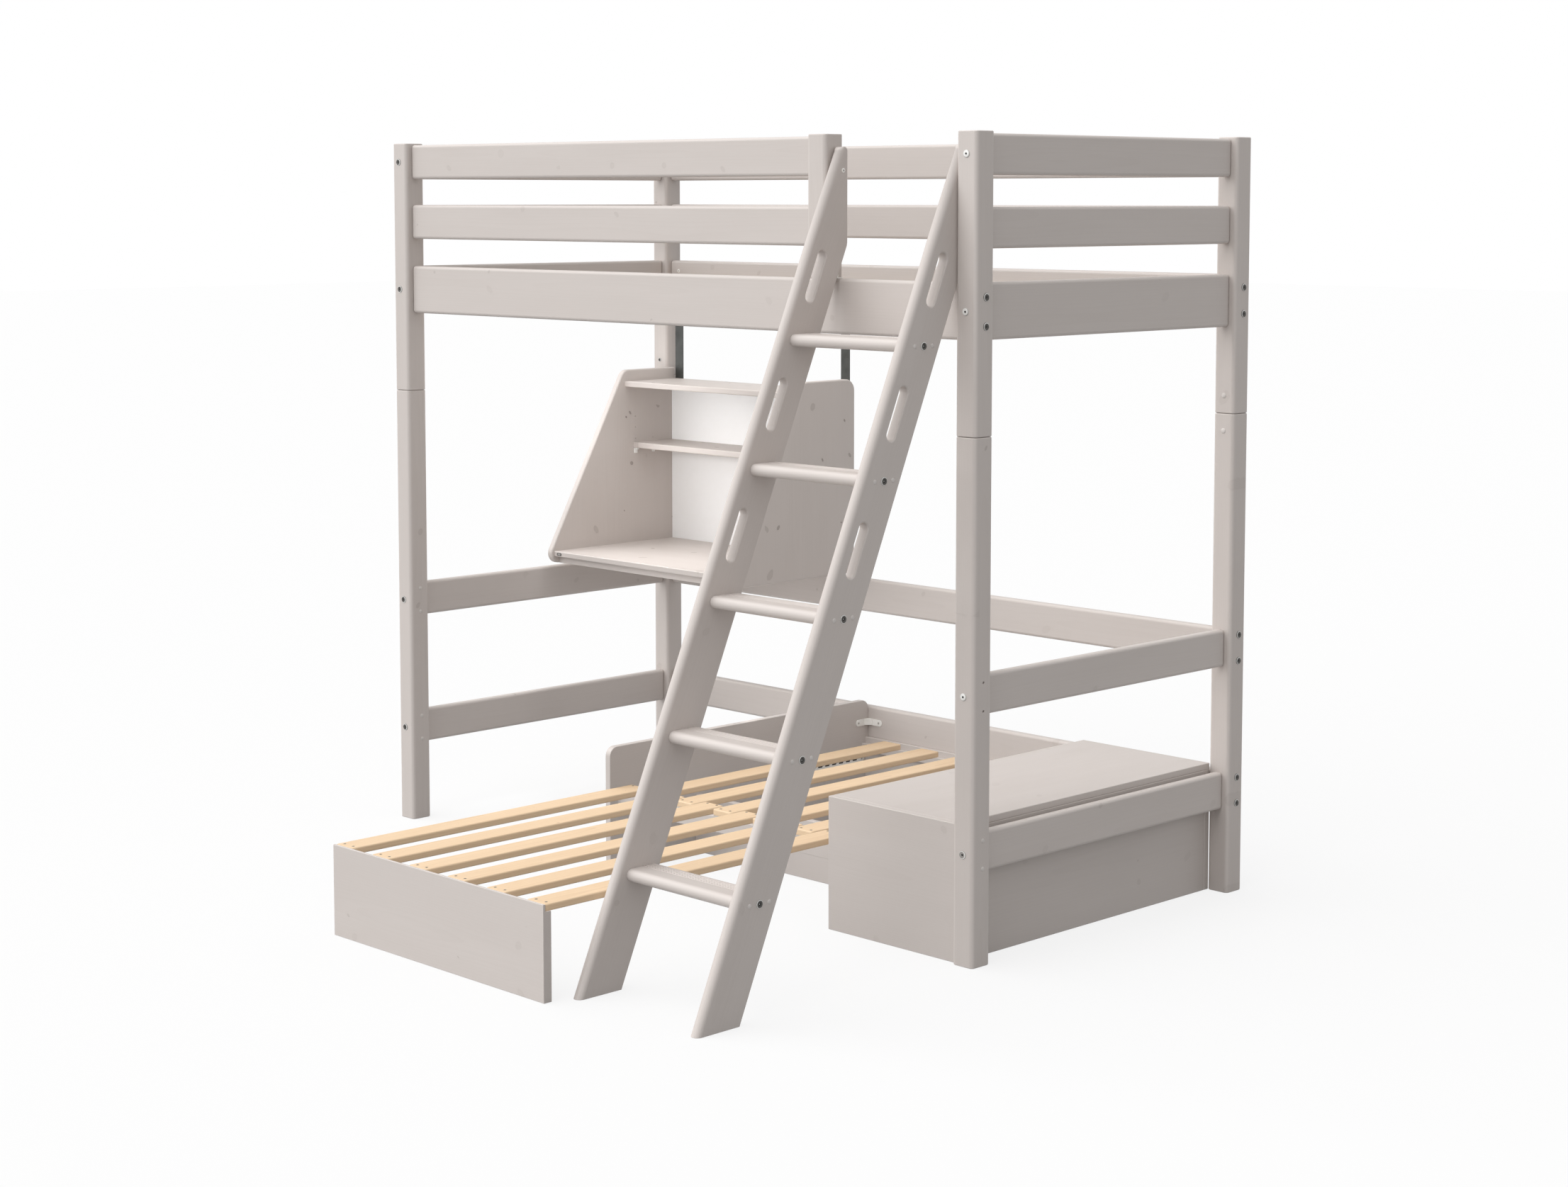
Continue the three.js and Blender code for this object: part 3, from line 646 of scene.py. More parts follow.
def makeStile(node, s):
    low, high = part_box(node)
    skin = Skin()
    z, front, back, frontSlope, backSlope = stileLevels(s, low, high)
    stretch = 1 / math.cos(s["lean"])
    steps = s["cornerSteps"]
    thick = high[0] - low[0]
    rings = []

    # One section: drawn in by the inset, its normals lifted towards the foot or the head.
    def section(k, level, inset=0, lift=0, share=1):
        depth = (back[k] - front[k]) / stretch
        room = min(1, s["headFill"] * depth / (s["nose"] + s["backRound"]))
        corners = [(0, 0), (thick, 0), (thick, depth), (0, depth)]
        radii = np.array([s["nose"], s["nose"], s["backRound"], s["backRound"]]) * room
        points, normals = roundedOutline(corners, radii, steps)
        x, y = (points - normals * inset).T
        place = np.stack([low[0] + x, front[k] + y * stretch, np.full(len(x), level)], 1)
        slopes = np.where(normals[:, 1] < 0, frontSlope[k], backSlope[k])
        facing = np.stack([normals[:, 0], normals[:, 1] / stretch, -normals[:, 1] / stretch * slopes], 1)
        facing = facing / np.linalg.norm(facing, axis=1)[:, None] * share + np.array([0, 0, lift])
        rings.append(skin.ring(place, facing / np.linalg.norm(facing, axis=1)[:, None]))

    turns = np.linspace(0, np.pi / 2, s["capSteps"])
    foot, head = s["footRound"], s["topRound"]
    for t in turns:
        section(0, low[2] + foot * (1 - math.cos(t)), foot * (1 - math.sin(t)), -math.cos(t), math.sin(t))
    mainStart = len(rings) - 1
    for k in range(1, len(z)):
        section(k, z[k])
    mainEnd = mainStart + 3  # the flat sides end where the head starts to round over
    for t in turns[::-1][1:]:
        section(len(z) - 1, z[-1], head * (1 - math.sin(t)), math.cos(t), math.sin(t))
    rightWall, leftWall = sideStart(1, steps), sideStart(3, steps)
    for k in range(len(rings) - 1):
        skin.bridge(rings[k], rings[k + 1], (rightWall, leftWall) if mainStart <= k < mainEnd else ())
    pitch = stepCentres[4][2] - stepCentres[3][2]
    up = (0, math.sin(s["lean"]), math.cos(s["lean"]))
    gripRun = (s["width"] / 2 - s["gripForward"]) * stretch
    mouths = []
    for k in range(s["gripCount"]):
        level = stepCentres[4 - k][2] + pitch / 2
        centre = (high[0], low[1] + level * math.tan(s["lean"]) + gripRun, level)
        grip = (s["gripRadius"], thick, s["gripLip"], s["gripStraight"], up, True)
        mouths.append(bore(skin, centre, (1, 0, 0), *grip))
    walls = rings[mainStart:mainEnd + 1]
    for side, way, mouth in ((rightWall, 1, 0), (leftWall, -1, 1)):
        following = (side + 1) % len(walls[0])
        loop = [ring[side] for ring in walls] + [ring[following] for ring in reversed(walls)]
        skin.flat(loop, (way, 0, 0), [pair[mouth] for pair in mouths])
    skin.flat(rings[0], (0, 0, -1))
    skin.flat(rings[-1], (0, 0, 1))
    return timber(node + "_wood", skin, "washedPine", 2, "frame", (node,), s["lean"])


# A step's side view: round nose, soft back edge and slanted grooves in the rear of the tread.
def makeStep(node, s):
    low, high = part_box(node)
    corners = [(low[1], low[2]), (high[1], low[2]), (high[1], high[2])]
    radii = [s["treadNose"], s["treadBack"], s["treadBack"]]
    slope, top, floor = s["grooveSlope"], high[2], high[2] - s["grooveDepth"]
    for k in range(s["grooveCount"]):
        start = high[1] - s["grooveInset"] - k * s["groovePitch"]
        end = start - s["grooveWidth"]
        corners += [(start, top), (start - slope, floor), (end + slope, floor), (end, top)]
        radii += [s["grooveRound"]] * 4
    corners.append((low[1], top))
    radii.append(s["treadNose"])
    skin = Skin()
    carry(skin, roundedOutline(corners, radii, s["treadSteps"]), 0, (low[0], high[0]), s["treadEnd"])
    return timber(node + "_wood", skin, "washedPine", 0, "frame", (node,))


makeStile("left_ladder_stile", ladderSettings)
makeStile("right_ladder_stile", ladderSettings)
for stepNode in stepNodes:
    makeStep(stepNode, ladderSettings)
print("loft bed: ladder")

# Slatted base on its ledgers
baseSettings = {
    "slatCount": 14, "slatWidth": 0.070, "slatThickness": 0.018, "slatRound": 0.004, "ledgerRound": 0.002,
    "battenWidth": 0.030, "battenHeight": 0.020, "battenShares": (0.3, 0.7), "battenRound": 0.002,
    "endRound": 0.0015,
}


# The studio light is even below the slats, so the slats cast no shadow and tint nothing.
def letLightPass(piece):
    piece.visible_shadow = False
    piece.visible_diffuse = False


def makeSlattedBase(s):
    for side in ("front", "back"):
        barOf(f"{side}_ledger", "naturalPine", 0, s["ledgerRound"], s["endRound"])
    low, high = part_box("loft_slatted_base")
    pitch = (high[0] - low[0] - s["slatWidth"]) / (s["slatCount"] - 1)
    for k in range(s["slatCount"]):
        x = low[0] + k * pitch
        corner = (x, low[1], high[2] - s["slatThickness"])
        opposite = (x + s["slatWidth"], high[1], high[2])
        size = (corner, opposite, s["slatRound"], s["endRound"])
        replaced = ("loft_slatted_base",) if k == 0 else ()
        letLightPass(bar(f"base_slat_{k + 1}", "naturalPine", 1, *size, "frame", replaced))
    for k, share in enumerate(s["battenShares"]):
        y, half = low[1] + share * (high[1] - low[1]), s["battenWidth"] / 2
        corner, opposite = (low[0], y - half, low[2]), (high[0], y + half, low[2] + s["battenHeight"])
        size = (corner, opposite, s["battenRound"], s["endRound"])
        letLightPass(bar(f"base_batten_{k + 1}", "naturalPine", 0, *size))


makeSlattedBase(baseSettings)
print("loft bed: slatted base")

# Desk. A peg hole's place is its distance from the back edge, and its level.
deskSettings = {
    "bottomDepth": 0.4945, "headDepth": 0.1995, "bottomRound": 0.028, "topRound": 0.030, "backRound": 0.032,
    "edge": 0.0045, "endSteps": 9, "boardEdge": 0.0015, "topEdge": 0.003, "shelfEdge": 0.003,
    "seatEnd": 0.0002, "apronEnd": 0.0004, "looseEnd": 0.001, "apronShare": 0.712, "apronGap": 0.0003,
    "pegHoles": ((0.1575, 1.067), (0.1575, 1.035), (0.1575, 1.002), (0.0895, 1.002)),
    "pegHole": 0.0013, "pegHoleDepth": 0.008, "pegHoleLip": 0.0002, "backBoardEdge": 0.0006,
    "strapEdge": 0.0005,
}


def makeDeskEnd(node, s, backRound, inner):
    low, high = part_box(node)
    foot, head = high[1] - s["bottomDepth"], high[1] - s["headDepth"]
    corners = [(foot, low[2]), (high[1], low[2]), (high[1], high[2]), (head, high[2])]
    radii = [s["bottomRound"], s["edge"], backRound, s["topRound"]]
    skin = Skin()
    face = high[0] if inner > 0 else low[0]
    places = [(face, high[1] - back, z) for back, z in s["pegHoles"]]
    hole = (s["pegHole"], s["pegHoleDepth"], s["pegHoleLip"])
    mouths = [bore(skin, place, (inner, 0, 0), *hole) for place in places]
    caps = ((), mouths) if inner > 0 else (mouths, ())
    outline = roundedOutline(corners, radii, s["endSteps"])
    carry(skin, outline, 0, (low[0], high[0]), s["edge"], None, caps)
    return timber(node + "_wood", skin, "knottyPine", 2, "frame", (node,))


def makeDesk(s):
    makeDeskEnd("left_desk_end", s, s["edge"], 1)
    makeDeskEnd("right_desk_end", s, s["backRound"], -1)
    barOf("desk_top", "knottyPine", 0, s["topEdge"], s["seatEnd"])
    low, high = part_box("desk_apron")
    joint = low[0] + s["apronShare"] * (high[0] - low[0])
    first, second = (joint - s["apronGap"], high[1], high[2]), (joint, low[1], low[2])
    rounds = (s["boardEdge"], s["apronEnd"])
    bar("desk_apron_wood", "washedPine", 0, low, first, *rounds, "frame", ("desk_apron",))
    bar("desk_apron_end", "washedPine", 0, second, high, *rounds)
    barOf("top_shelf", "knottyPine", 0, s["shelfEdge"], s["seatEnd"])
    barOf("loose_shelf", "knottyPine", 0, s["shelfEdge"], s["looseEnd"])
    back = ("desk_back", "whiteBoard", "white_board", s["backBoardEdge"], "desk_back_board")
    straps = [(f"{side}_desk_strap", "darkSteel", "dark_steel", s["strapEdge"], f"{side}_strap_steel")
              for side in ("left", "right")]
    for node, look, slot, edge, name in (back, *straps):
        plate(name, look, *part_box(node), 1, edge, slot, "frame", (node,))


makeDesk(deskSettings)

# An oval fitting in the front edge of the desk top: a dark rim and a paler lens in it
fittingSettings = {
    "fromEnd": 0.022, "rise": 0.0075, "rim": (0.0103, 0.0041), "lens": (0.0062, 0.0022), "proud": 0.0004,
    "sunk": 0.001, "edge": 0.0002, "cornerSpare": 0.0001,
}


def makeFitting(s):
    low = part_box("desk_top")[0]
    x, z = low[0] + s["fromEnd"], low[2] + s["rise"]
    for name, look, proud in (("rim", "boltFace", 1), ("lens", "boltGrey", 2)):
        half, rise = s[name]
        first = (x - half, low[1] - s["proud"] * proud, z - rise)
        second = (x + half, low[1] + s["sunk"], z + rise)
        corner = rise - s["cornerSpare"]
        plate(f"desk_top_fitting_{name}", look, first, second, 1, s["edge"], "dark_steel", corner=corner)


makeFitting(fittingSettings)
print("loft bed: desk")

# Chest
chestSettings = {"edge": 0.0018, "floorEdge": 0.001}


def makeChest(s):
    edge = s["edge"]
    for board, along in (("front", 0), ("back", 0), ("left_side", 1), ("right_side", 1)):
        barOf(f"chest_{board}", "washedPine", along, edge, edge)
    barOf("chest_floor", "washedPine", 1, s["floorEdge"], s["floorEdge"])
    barOf("chest_lid", "washedPine", 1, edge, edge, "lid")


makeChest(chestSettings)
print("loft bed: chest")

# Bench. The pull-out board has a rebate in its top edge, in which the front slats end.
benchSettings = {
    "armRound": 0.024, "armSteps": 9, "edge": 0.0018, "seatEnd": 0.0004,
    "ledgeDepth": 0.014, "ledgeHeight": 0.022,
    "boardRim": 0.0063, "boardEdge": 0.0015, "boardEnd": 0.001, "rebateEdge": 0.001, "rebateCorner": 0.0004,
    "slatThickness": 0.016, "slatWidth": 0.065, "slatRound": 0.0035, "slatCorner": 0.006, "slatCount": 6,
    "battenHeight": 0.040, "battenThickness": 0.022, "battenRound": 0.002, "battenEnd": 0.001,
    "slatInset": 0.002, "spacerLap": 0.001, "spacerEdge": 0.0002,
}


def makeBenchFrame(s):
    low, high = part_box("bench_arm")
    radii = [s["edge"], s["edge"], s["armRound"], s["armRound"]]
    skin = Skin()
    carry(skin, rectangle(low[1:], high[1:], radii, s["armSteps"]), 0, (low[0], high[0]), s["edge"])
    timber("bench_arm_wood", skin, "washedPine", 1, "frame", ("bench_arm",))
    rounds = (s["edge"], s["seatEnd"])
    barOf("bench_cross_board", "washedPine", 0, *rounds)
    low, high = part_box("bench_rear_board")
    boardFront, ledgeTop = low[1] + s["ledgeDepth"], high[2] - s["slatThickness"]
    corner = (low[0], boardFront, low[2])
    bar("bench_rear_board_wood", "washedPine", 0, corner, high, *rounds, "frame", ("bench_rear_board",))
    corner = (low[0], low[1], ledgeTop - s["ledgeHeight"])
    bar("bench_ledge", "washedPine", 0, corner, (high[0], boardFront, ledgeTop), *rounds)


# A set of slats on its batten, with a spacer under each; it starts at the lowest x of each slat.
def makeSlatSet(s, node, starts, ySpan, battenSpan, body, label):
    low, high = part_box(node)
    under, battenTop = high[2] - s["slatThickness"], low[2] + s["battenHeight"]
    wide, lap = s["slatWidth"], s["spacerLap"]
    for k, x in enumerate(starts):
        skin = Skin()
        outline = rectangle((x, ySpan[0]), (x + wide, ySpan[1]), s["slatCorner"])
        carry(skin, outline, 2, (under, high[2]), s["slatRound"])
        replaced = (node,) if k == 0 else ()
        letLightPass(timber(f"{label}_slat_{k + 1}", skin, "naturalPine", 1, body, replaced))
        corner = (x + s["slatRound"], battenSpan[0], battenTop - lap)
        opposite = (x + wide - s["slatRound"], battenSpan[1], under + lap)
        finish = (s["spacerEdge"], "natural_pine", body)
        plate(f"{label}_spacer_{k + 1}", "slatSpacer", corner, opposite, 2, *finish)
    corner, opposite = (low[0], battenSpan[0], low[2]), (high[0], battenSpan[1], battenTop)
    rounds = (s["battenRound"], s["battenEnd"])
    letLightPass(bar(f"{label}_batten", "washedPine", 0, corner, opposite, *rounds, body))


# The rear slats stand in the gaps of the front ones, and the two battens face each other.
def makeSlats(s):
    pullLow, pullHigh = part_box("pull_out_slats")
    low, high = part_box("pull_out_board")
    rearLow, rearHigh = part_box("rear_slats")
    pitch = (high[0] - low[0] - s["slatWidth"]) / (s["slatCount"] - 1)
    frontStarts = [low[0] + k * pitch for k in range(s["slatCount"])]
    rearStarts = [x + pitch / 2 for x in frontStarts[:-1]]
    frontSpan = (pullLow[1], pullHigh[1] - s["slatInset"])
    rearSpan = (rearLow[1], rearHigh[1])
    battenSpan = (pullHigh[1] - s["battenThickness"], pullHigh[1])
    makeSlatSet(s, "pull_out_slats", frontStarts, frontSpan, battenSpan, "pull_out", "front")
    battenSpan = (rearLow[1], rearLow[1] + s["battenThickness"])
    makeSlatSet(s, "rear_slats", rearStarts, rearSpan, battenSpan, "frame", "rear")
    shelf, rebate = high[2] - s["slatThickness"], low[1] + s["boardRim"]
    corners = [(low[1], low[2]), (high[1], low[2]), (high[1], shelf), (rebate, shelf)]
    corners += [(rebate, high[2]), (low[1], high[2])]
    edge = s["boardEdge"]
    radii = [edge, edge, s["rebateEdge"], s["rebateCorner"], edge, edge]
    skin = Skin()
    carry(skin, roundedOutline(corners, radii), 0, (low[0], high[0]), s["boardEnd"])
    timber("pull_out_board_wood", skin, "washedPine", 0, "pull_out", ("pull_out_board",))
    return frontStarts, rearStarts, frontSpan, rearSpan


makeBenchFrame(benchSettings)
slatPlaces = makeSlats(benchSettings)
print("loft bed: bench and slats")


# Small turned hardware. A profile lists rings from the buried edge over the top to the middle: radius
# and height in millimetres, form, shift, and the finish of the band inside the ring. A ring shifted away
# from the glint leaves a crescent: a painted highlight on dark bolts, painted shade on white ones. A
# hexagon ring has radius * cos(30) / cos(a), and a cross ring has lobes of radius * (0.4 + 0.6 |cos 2a| ** 3).
def turnedTemplate(profile, sides):
    angle = np.linspace(0, 2 * np.pi, sides, endpoint=False)
    hexagon = math.cos(math.pi / 6) / np.cos((angle % (math.pi / 3)) - math.pi / 6)
    cross = 0.4 + 0.6 * np.abs(np.cos(2 * angle)) ** 3
    forms = {"round": np.ones(sides), "hexagon": hexagon, "cross": cross}
    rings = []
    for radius, height, form, shift, finish in profile:
        x, y = radius * forms[form] * np.cos(angle) - shift, radius * forms[form] * np.sin(angle)
        rings.append(np.stack([x, y, np.full(sides, height)], 1))
    points = np.concatenate(rings) / 1000
    first = np.arange(sides) + np.arange(len(rings) - 1)[:, None] * sides
    following = np.roll(first, -1, axis=1)
    bands = np.stack([first, following, following + sides, first + sides], -1).reshape(-1, 4)
    return points, bands, [np.arange(sides)[::-1], np.arange(sides) + (len(rings) - 1) * sides]


# A place is a centre, the way the head faces and, if it matters, the side that the painted glint is on.
def addHardware(name, profile, places, looks, body, sides=24):
    points, bands, caps = turnedTemplate(profile, sides)
    finish = [ring[4] for ring in profile]
    allPoints, allFaces, finishes = [], [], []
    for n, (centre, facing, *glint) in enumerate(places):
        facing = np.asarray(facing, float)
        upright = (0, 0, 1) if abs(facing[2]) < 0.5 else (0, 1, 0)
        side = np.asarray(glint[0] if glint else upright, float)
        side -= (side @ facing) * facing
        side /= np.linalg.norm(side)
        turn = np.stack([side, np.cross(facing, side), facing])
        allPoints.append(points @ turn + np.asarray(centre, float))
        allFaces += [(face + n * len(points)).tolist() for face in [*bands, *caps]]
        finishes += [*np.repeat(finish[:-1], sides).tolist(), finish[0], finish[-1]]
    mesh = bpy.data.meshes.new(name)
    mesh.from_pydata(np.concatenate(allPoints).tolist(), [], allFaces, shade_flat=False)
    mesh.set_sharp_from_angle(angle=math.radians(surfaceSettings["sharpAngle"]))
    addPiece(name, mesh, [plain(look) for look in looks], body)
    mesh.polygons.foreach_set("material_index", finishes)


def turned(*rows):
    return [(*row, 0, 0)[:5] for row in rows]  # no shift and the first finish, unless the row says


def scaled(profile, share):
    return [(radius * share, height * share, form, shift * share, finish)
            for radius, height, form, shift, finish in profile]


# A dark head with a painted highlight crescent and a hexagon socket in painted shade.
darkBolt = turned(
    (9.2, -0.6, "round"), (9.2, 0.4, "round"), (9.0, 0.9, "round"), (8.7, 1.2, "round", 0, 1),
    (7.5, 1.15, "round", 1.15, 0), (3.2, 0.8, "hexagon", 0, 2), (3.0, 0.1, "hexagon", 0, 2),
    (0.8, 0.1, "round", 0, 2),
)
# A grey rim, a painted highlight crescent, a dark face, a hexagon socket in painted shade and a white dot in
# its middle.
stepBolt = turned(
    (9.2, -0.6, "round", 0, 3), (9.2, 0.5, "round", 0, 3), (9.0, 0.9, "round", 0, 1),
    (7.8, 1.1, "round", 0.8, 0), (4.6, 0.85, "hexagon", 0, 2), (4.3, 0.1, "hexagon", 0, 2),
    (0.9, 0.15, "round", 0, 1),
)
# A white disc that is a painted reflection, a grey crescent of painted shade beside it, and a socket dot in
# painted shade.
brightBolt = turned(
    (8.8, -0.6, "round", 0, 1), (8.8, 0.5, "round", 0, 1), (8.6, 0.9, "round", 0, 1),
    (7.6, 1.4, "round", -0.9, 0), (2.6, 1.6, "round", -0.4, 2), (2.4, 0.4, "round", -0.4, 2),
    (0.8, 0.4, "round", -0.4, 2),
)
coverPlug = turned(
    (5.2, -0.5, "round"), (5.2, 0.2, "round"), (4.8, 0.7, "round"), (3.6, 1.25, "round"),
    (2.0, 1.55, "round"), (0.7, 1.65, "round"),
)
# The screws' cross recesses take painted shade.
slatScrew = turned(
    (3.6, -0.4, "round"), (3.6, 0.12, "round"), (3.3, 0.22, "round"), (2.2, 0.15, "round", 0, 1),
    (2.0, 0.12, "cross", 0, 1), (1.6, 0.05, "cross", 0, 1),
)
wallScrew = turned(
    (5.4, -0.4, "round"), (5.4, 0.5, "round"), (4.8, 1.0, "round"), (3.0, 1.3, "round"),
    (2.4, 1.2, "cross", 0, 1), (1.8, 0.3, "cross", 0, 1),
)
smallScrew = scaled(wallScrew, 0.62)
darkLooks = ["boltFace", "whiteAndPaintedGlint", "paintedRecessShade", "boltGrey"]

# Fasteners of the posts and the ladder. Insets are from a post's left or front side. A screw's place is
# its distance from the stile's back or the rail's left end, and its level.
fastenerSettings = {
    "levels": (1.795, 1.453, 0.606, 0.253), "pairLevels": (1.453, 0.606, 0.253), "pairRise": 0.032,
    "jointRise": 0.043,
    "middle": 0.030, "cornerInset": 0.027, "jointInset": 0.0295, "jointShare": 0.62, "seamPlugShare": 1.25,
    "frontRow": 0.033, "backRow": 0.0335, "plugRow": 0.0317, "dowelSpread": 0.028,
    "stileScrew": (0.0146, 1.762), "railScrew": (0.035, 1.486),
    # The glints point to where a bolt's painted highlight sits; upperLeft is where a white bolt's painted
    # reflection is shifted.
    "sideGlint": (0, -0.8, 0.6), "frontGlint": (1, 0, 0.2), "upperLeft": (-1, 0, 0.8),
}
front, back, left, right = (0, -1, 0), (0, 1, 0), (-1, 0, 0), (1, 0, 0)


def makePostBolts(s):
    frontLeft, frontRight, backLeft, backRight = (
        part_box(f"{corner}_post_lower") for corner in ("front_left", "front_right", "back_left", "back_right"))
    middle, levels, rise = s["middle"], s["levels"], s["pairRise"]
    # White bolts on the front right post and on the back posts: the white disc is a painted reflection, its
    # grey crescent painted shade.
    bright = [((frontRight[0][0] + middle, frontRight[0][1], z), front, s["upperLeft"]) for z in levels[:3]]
    bright += [((low[0] + middle, high[1], z), back) for low, high in (backLeft, backRight) for z in levels]
    looks = ["whiteAndPaintedGlint", "boltShade", "paintedRecessShade"]
    addHardware("bright_post_bolts", brightBolt, bright, looks, "frame")
    # The lowest front right bolt is grey, a painted reflection of the floor, with a painted highlight crescent.
    grey = [((frontRight[0][0] + middle, frontRight[0][1], levels[3]), front, s["frontGlint"])]
    looks = ["boltGrey", "whiteAndPaintedGlint", "paintedRecessShade"]
    addHardware("grey_post_bolt", darkBolt, grey, looks, "frame")
    low = frontLeft[0]
    # Dark bolts, each with a painted highlight crescent on the side of its glint.
    dark = [((low[0] + s["cornerInset"], low[1], z), front, s["frontGlint"]) for z in levels]
    seam = backRight[1][2]
    seamLevels = [seam - s["jointRise"], seam + s["jointRise"]]
    low = backLeft[0]
    small = [((low[0] + s["jointInset"], low[1], z), front, s["frontGlint"]) for z in seamLevels]
    addHardware("joint_bolts", scaled(darkBolt, s["jointShare"]), small, darkLooks, "frame")
    rows = (
        (backRight[1][0], backRight, s["backRow"], right),
        (frontLeft[0][0], frontLeft, s["frontRow"], left),
        (backLeft[0][0], backLeft, s["backRow"], left),
        (frontRight[1][0], frontRight, s["frontRow"], right),
    )
    for level in s["pairLevels"]:
        for z in (level - rise, level + rise):
            for x, post, inset, facing in (rows if level > 1 else rows[:3]):
                dark.append(((x, post[0][1] + inset, z), facing, s["sideGlint"]))
    addHardware("dark_post_bolts", darkBolt, dark, darkLooks, "frame")
    plugs = []
    for level in s["pairLevels"][1:]:
        for z in (level - rise, level + rise):
            plugs.append(((frontLeft[1][0], frontLeft[0][1] + s["plugRow"], z), right))
            if level < 0.5:
                plugs.append(((frontRight[1][0], frontRight[0][1] + s["frontRow"], z), right))
    for post in (frontLeft, frontRight):
        plugs += [((post[0][0] + middle, frontLeft[1][1], z), back) for z in seamLevels]
    addHardware("post_plugs", coverPlug, plugs, ["plugPlastic"], "frame")
    low = backRight[0]
    plugs = [((low[0] + middle, low[1], z), front) for z in seamLevels]
    profile = scaled(coverPlug, s["seamPlugShare"])
    addHardware("seam_plugs", profile, plugs, ["plugPlastic"], "frame")


def makeLadderScrews(s):
    (leftLow, leftHigh), (rightLow, rightHigh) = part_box("left_ladder_stile"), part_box("right_ladder_stile")
    bolts, plugs = [], []
    for centre in stepCentres:
        for x, facing in ((rightHigh[0], right), (leftLow[0], left)):
            bolts.append(((x, centre[1], centre[2]), facing, s["sideGlint"]))
            for dy in (-s["dowelSpread"], s["dowelSpread"]):
                plugs.append(((x, centre[1] + dy, centre[2]), facing))
    addHardware("step_bolts", stepBolt, bolts, darkLooks, "frame")
    addHardware("step_plugs", coverPlug, plugs, ["plugPlastic"], "frame")
    inset, z = s["stileScrew"]
    y = leftHigh[1] - inset
    screws = [((leftHigh[0], y, z), right), ((rightLow[0], y, z), left)]
    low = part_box("back_bed_rail")[0]
    inset, z = s["railScrew"]
    screws.append(((low[0] + inset, low[1], z), front))
    addHardware("stile_screws", wallScrew, screws, ["whiteMetal", "paintedRecessShade"], "frame")


makePostBolts(fastenerSettings)
makeLadderScrews(fastenerSettings)

# Screws of the bench slats, in pairs: at both ends of a front slat, at the front end of a rear one
slatScrewSettings = {
    "spread": 0.0165, "fromBoard": 0.015, "fromTail": 0.0092, "rearInset": 0.0133, "sides": 20,
}


def makeSlatScrews(s, places, half):
    frontStarts, rearStarts, frontSpan, rearSpan = places
    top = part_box("pull_out_slats")[1][2]
    frontRows = (frontSpan[0] + s["fromBoard"], frontSpan[1] - s["fromTail"])
    rearRows = (rearSpan[0] + s["rearInset"],)
    sides = (half - s["spread"], half + s["spread"])
    sets = (("front", frontStarts, frontRows, "pull_out"), ("rear", rearStarts, rearRows, "frame"))
    looks = ["screwSteel", "paintedRecessShade"]
    for label, starts, rows, body in sets:
        screws = [((x + side, y, top), (0, 0, 1)) for x in starts for y in rows for side in sides]
        addHardware(f"{label}_slat_screws", slatScrew, screws, looks, body, s["sides"])


makeSlatScrews(slatScrewSettings, slatPlaces, benchSettings["slatWidth"] / 2)
print("loft bed: fasteners")

# White angle brackets, bent from strip: an L outline carried along its width
bracketSettings = {
    "strip": 0.0024, "edge": 0.0005, "bendShare": 1.2, "bendSteps": 4, "footReach": 0.018, "footRise": 0.045,
    "footSpan": (0.002, 0.023), "armLevel": 0.255, "armHeight": 0.018, "armReach": 0.050, "armHub": 0.019,
    "leafLap": 0.001, "cornerSpare": 0.0001, "hubCornerShare": 0.3, "hubShares": (0.8, 1.15),
}


def bracket(name, s, corners, along, span):
    skin = Skin()
    outline = roundedOutline(corners, s["edge"] * s["bendShare"], s["bendSteps"])
    carry(skin, outline, along, span, s["edge"], steps=3)
    return addPiece(name, skin.mesh(name), [plain("whiteMetal")], "frame")


def makeBrackets(s):
    t, edge, lap = s["strip"], s["edge"], s["leafLap"]
    low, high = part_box("front_bed_rail")
    x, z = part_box("short_ladder_post")[1][0], high[2]
    reach, rise = x + s["footReach"], z + s["footRise"]
    corners = [(x, z), (reach, z), (reach, z + t), (x + t, z + t), (x + t, rise), (x, rise)]
    start, end = s["footSpan"]
    bracket("post_foot_bracket", s, corners, 1, (low[1] + start, low[1] + end))
    x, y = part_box("bench_arm")[1][0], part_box("back_low_rail")[0][1]
    z, half, reach, hub = s["armLevel"], s["armHeight"] / 2, s["armReach"], s["armHub"]
    corner = half - s["cornerSpare"]
    low, high = (x, y - reach, z - half), (x + t, y - lap, z + half)
    plate("arm_bracket_leaf", "whiteMetal", low, high, 0, edge, "white_metal", corner=corner)
    low, high = (x + lap, y - t, z - half), (x + reach + t, y, z + half)
    plate("rail_bracket_leaf", "whiteMetal", low, high, 1, edge, "white_metal", corner=corner)
    small = s["hubCornerShare"] * hub
    corners = [(x + t, y - t), (x + t, y - hub), (x + small, y - hub), (x + hub, y - small), (x + hub, y - t)]
    below, above = s["hubShares"]
    bracket("arm_bracket_hub", s, corners, 2, (z - below * half, z + above * half))
    heads = [((x + t, y - reach + half, z), right), ((x + reach - half, y - t, z), front)]
    addHardware("bracket_screws", smallScrew, heads, ["screwZinc", "paintedRecessShade"], "frame")


makeBrackets(bracketSettings)

# Runner strips with a row of slots, on the arm and on the chest. A dark sheet behind each strip is painted
# shade seen through the slots.
runnerSettings = {
    "slotPitch": 0.027, "slotHalf": 0.0062, "slotRadius": 0.0029, "edge": 0.0003, "endRound": 0.0089,
    "firstSlot": 0.036, "endHole": 0.010, "shadeSheet": 0.0004, "shadeSheetEdge": 0.0001,
}


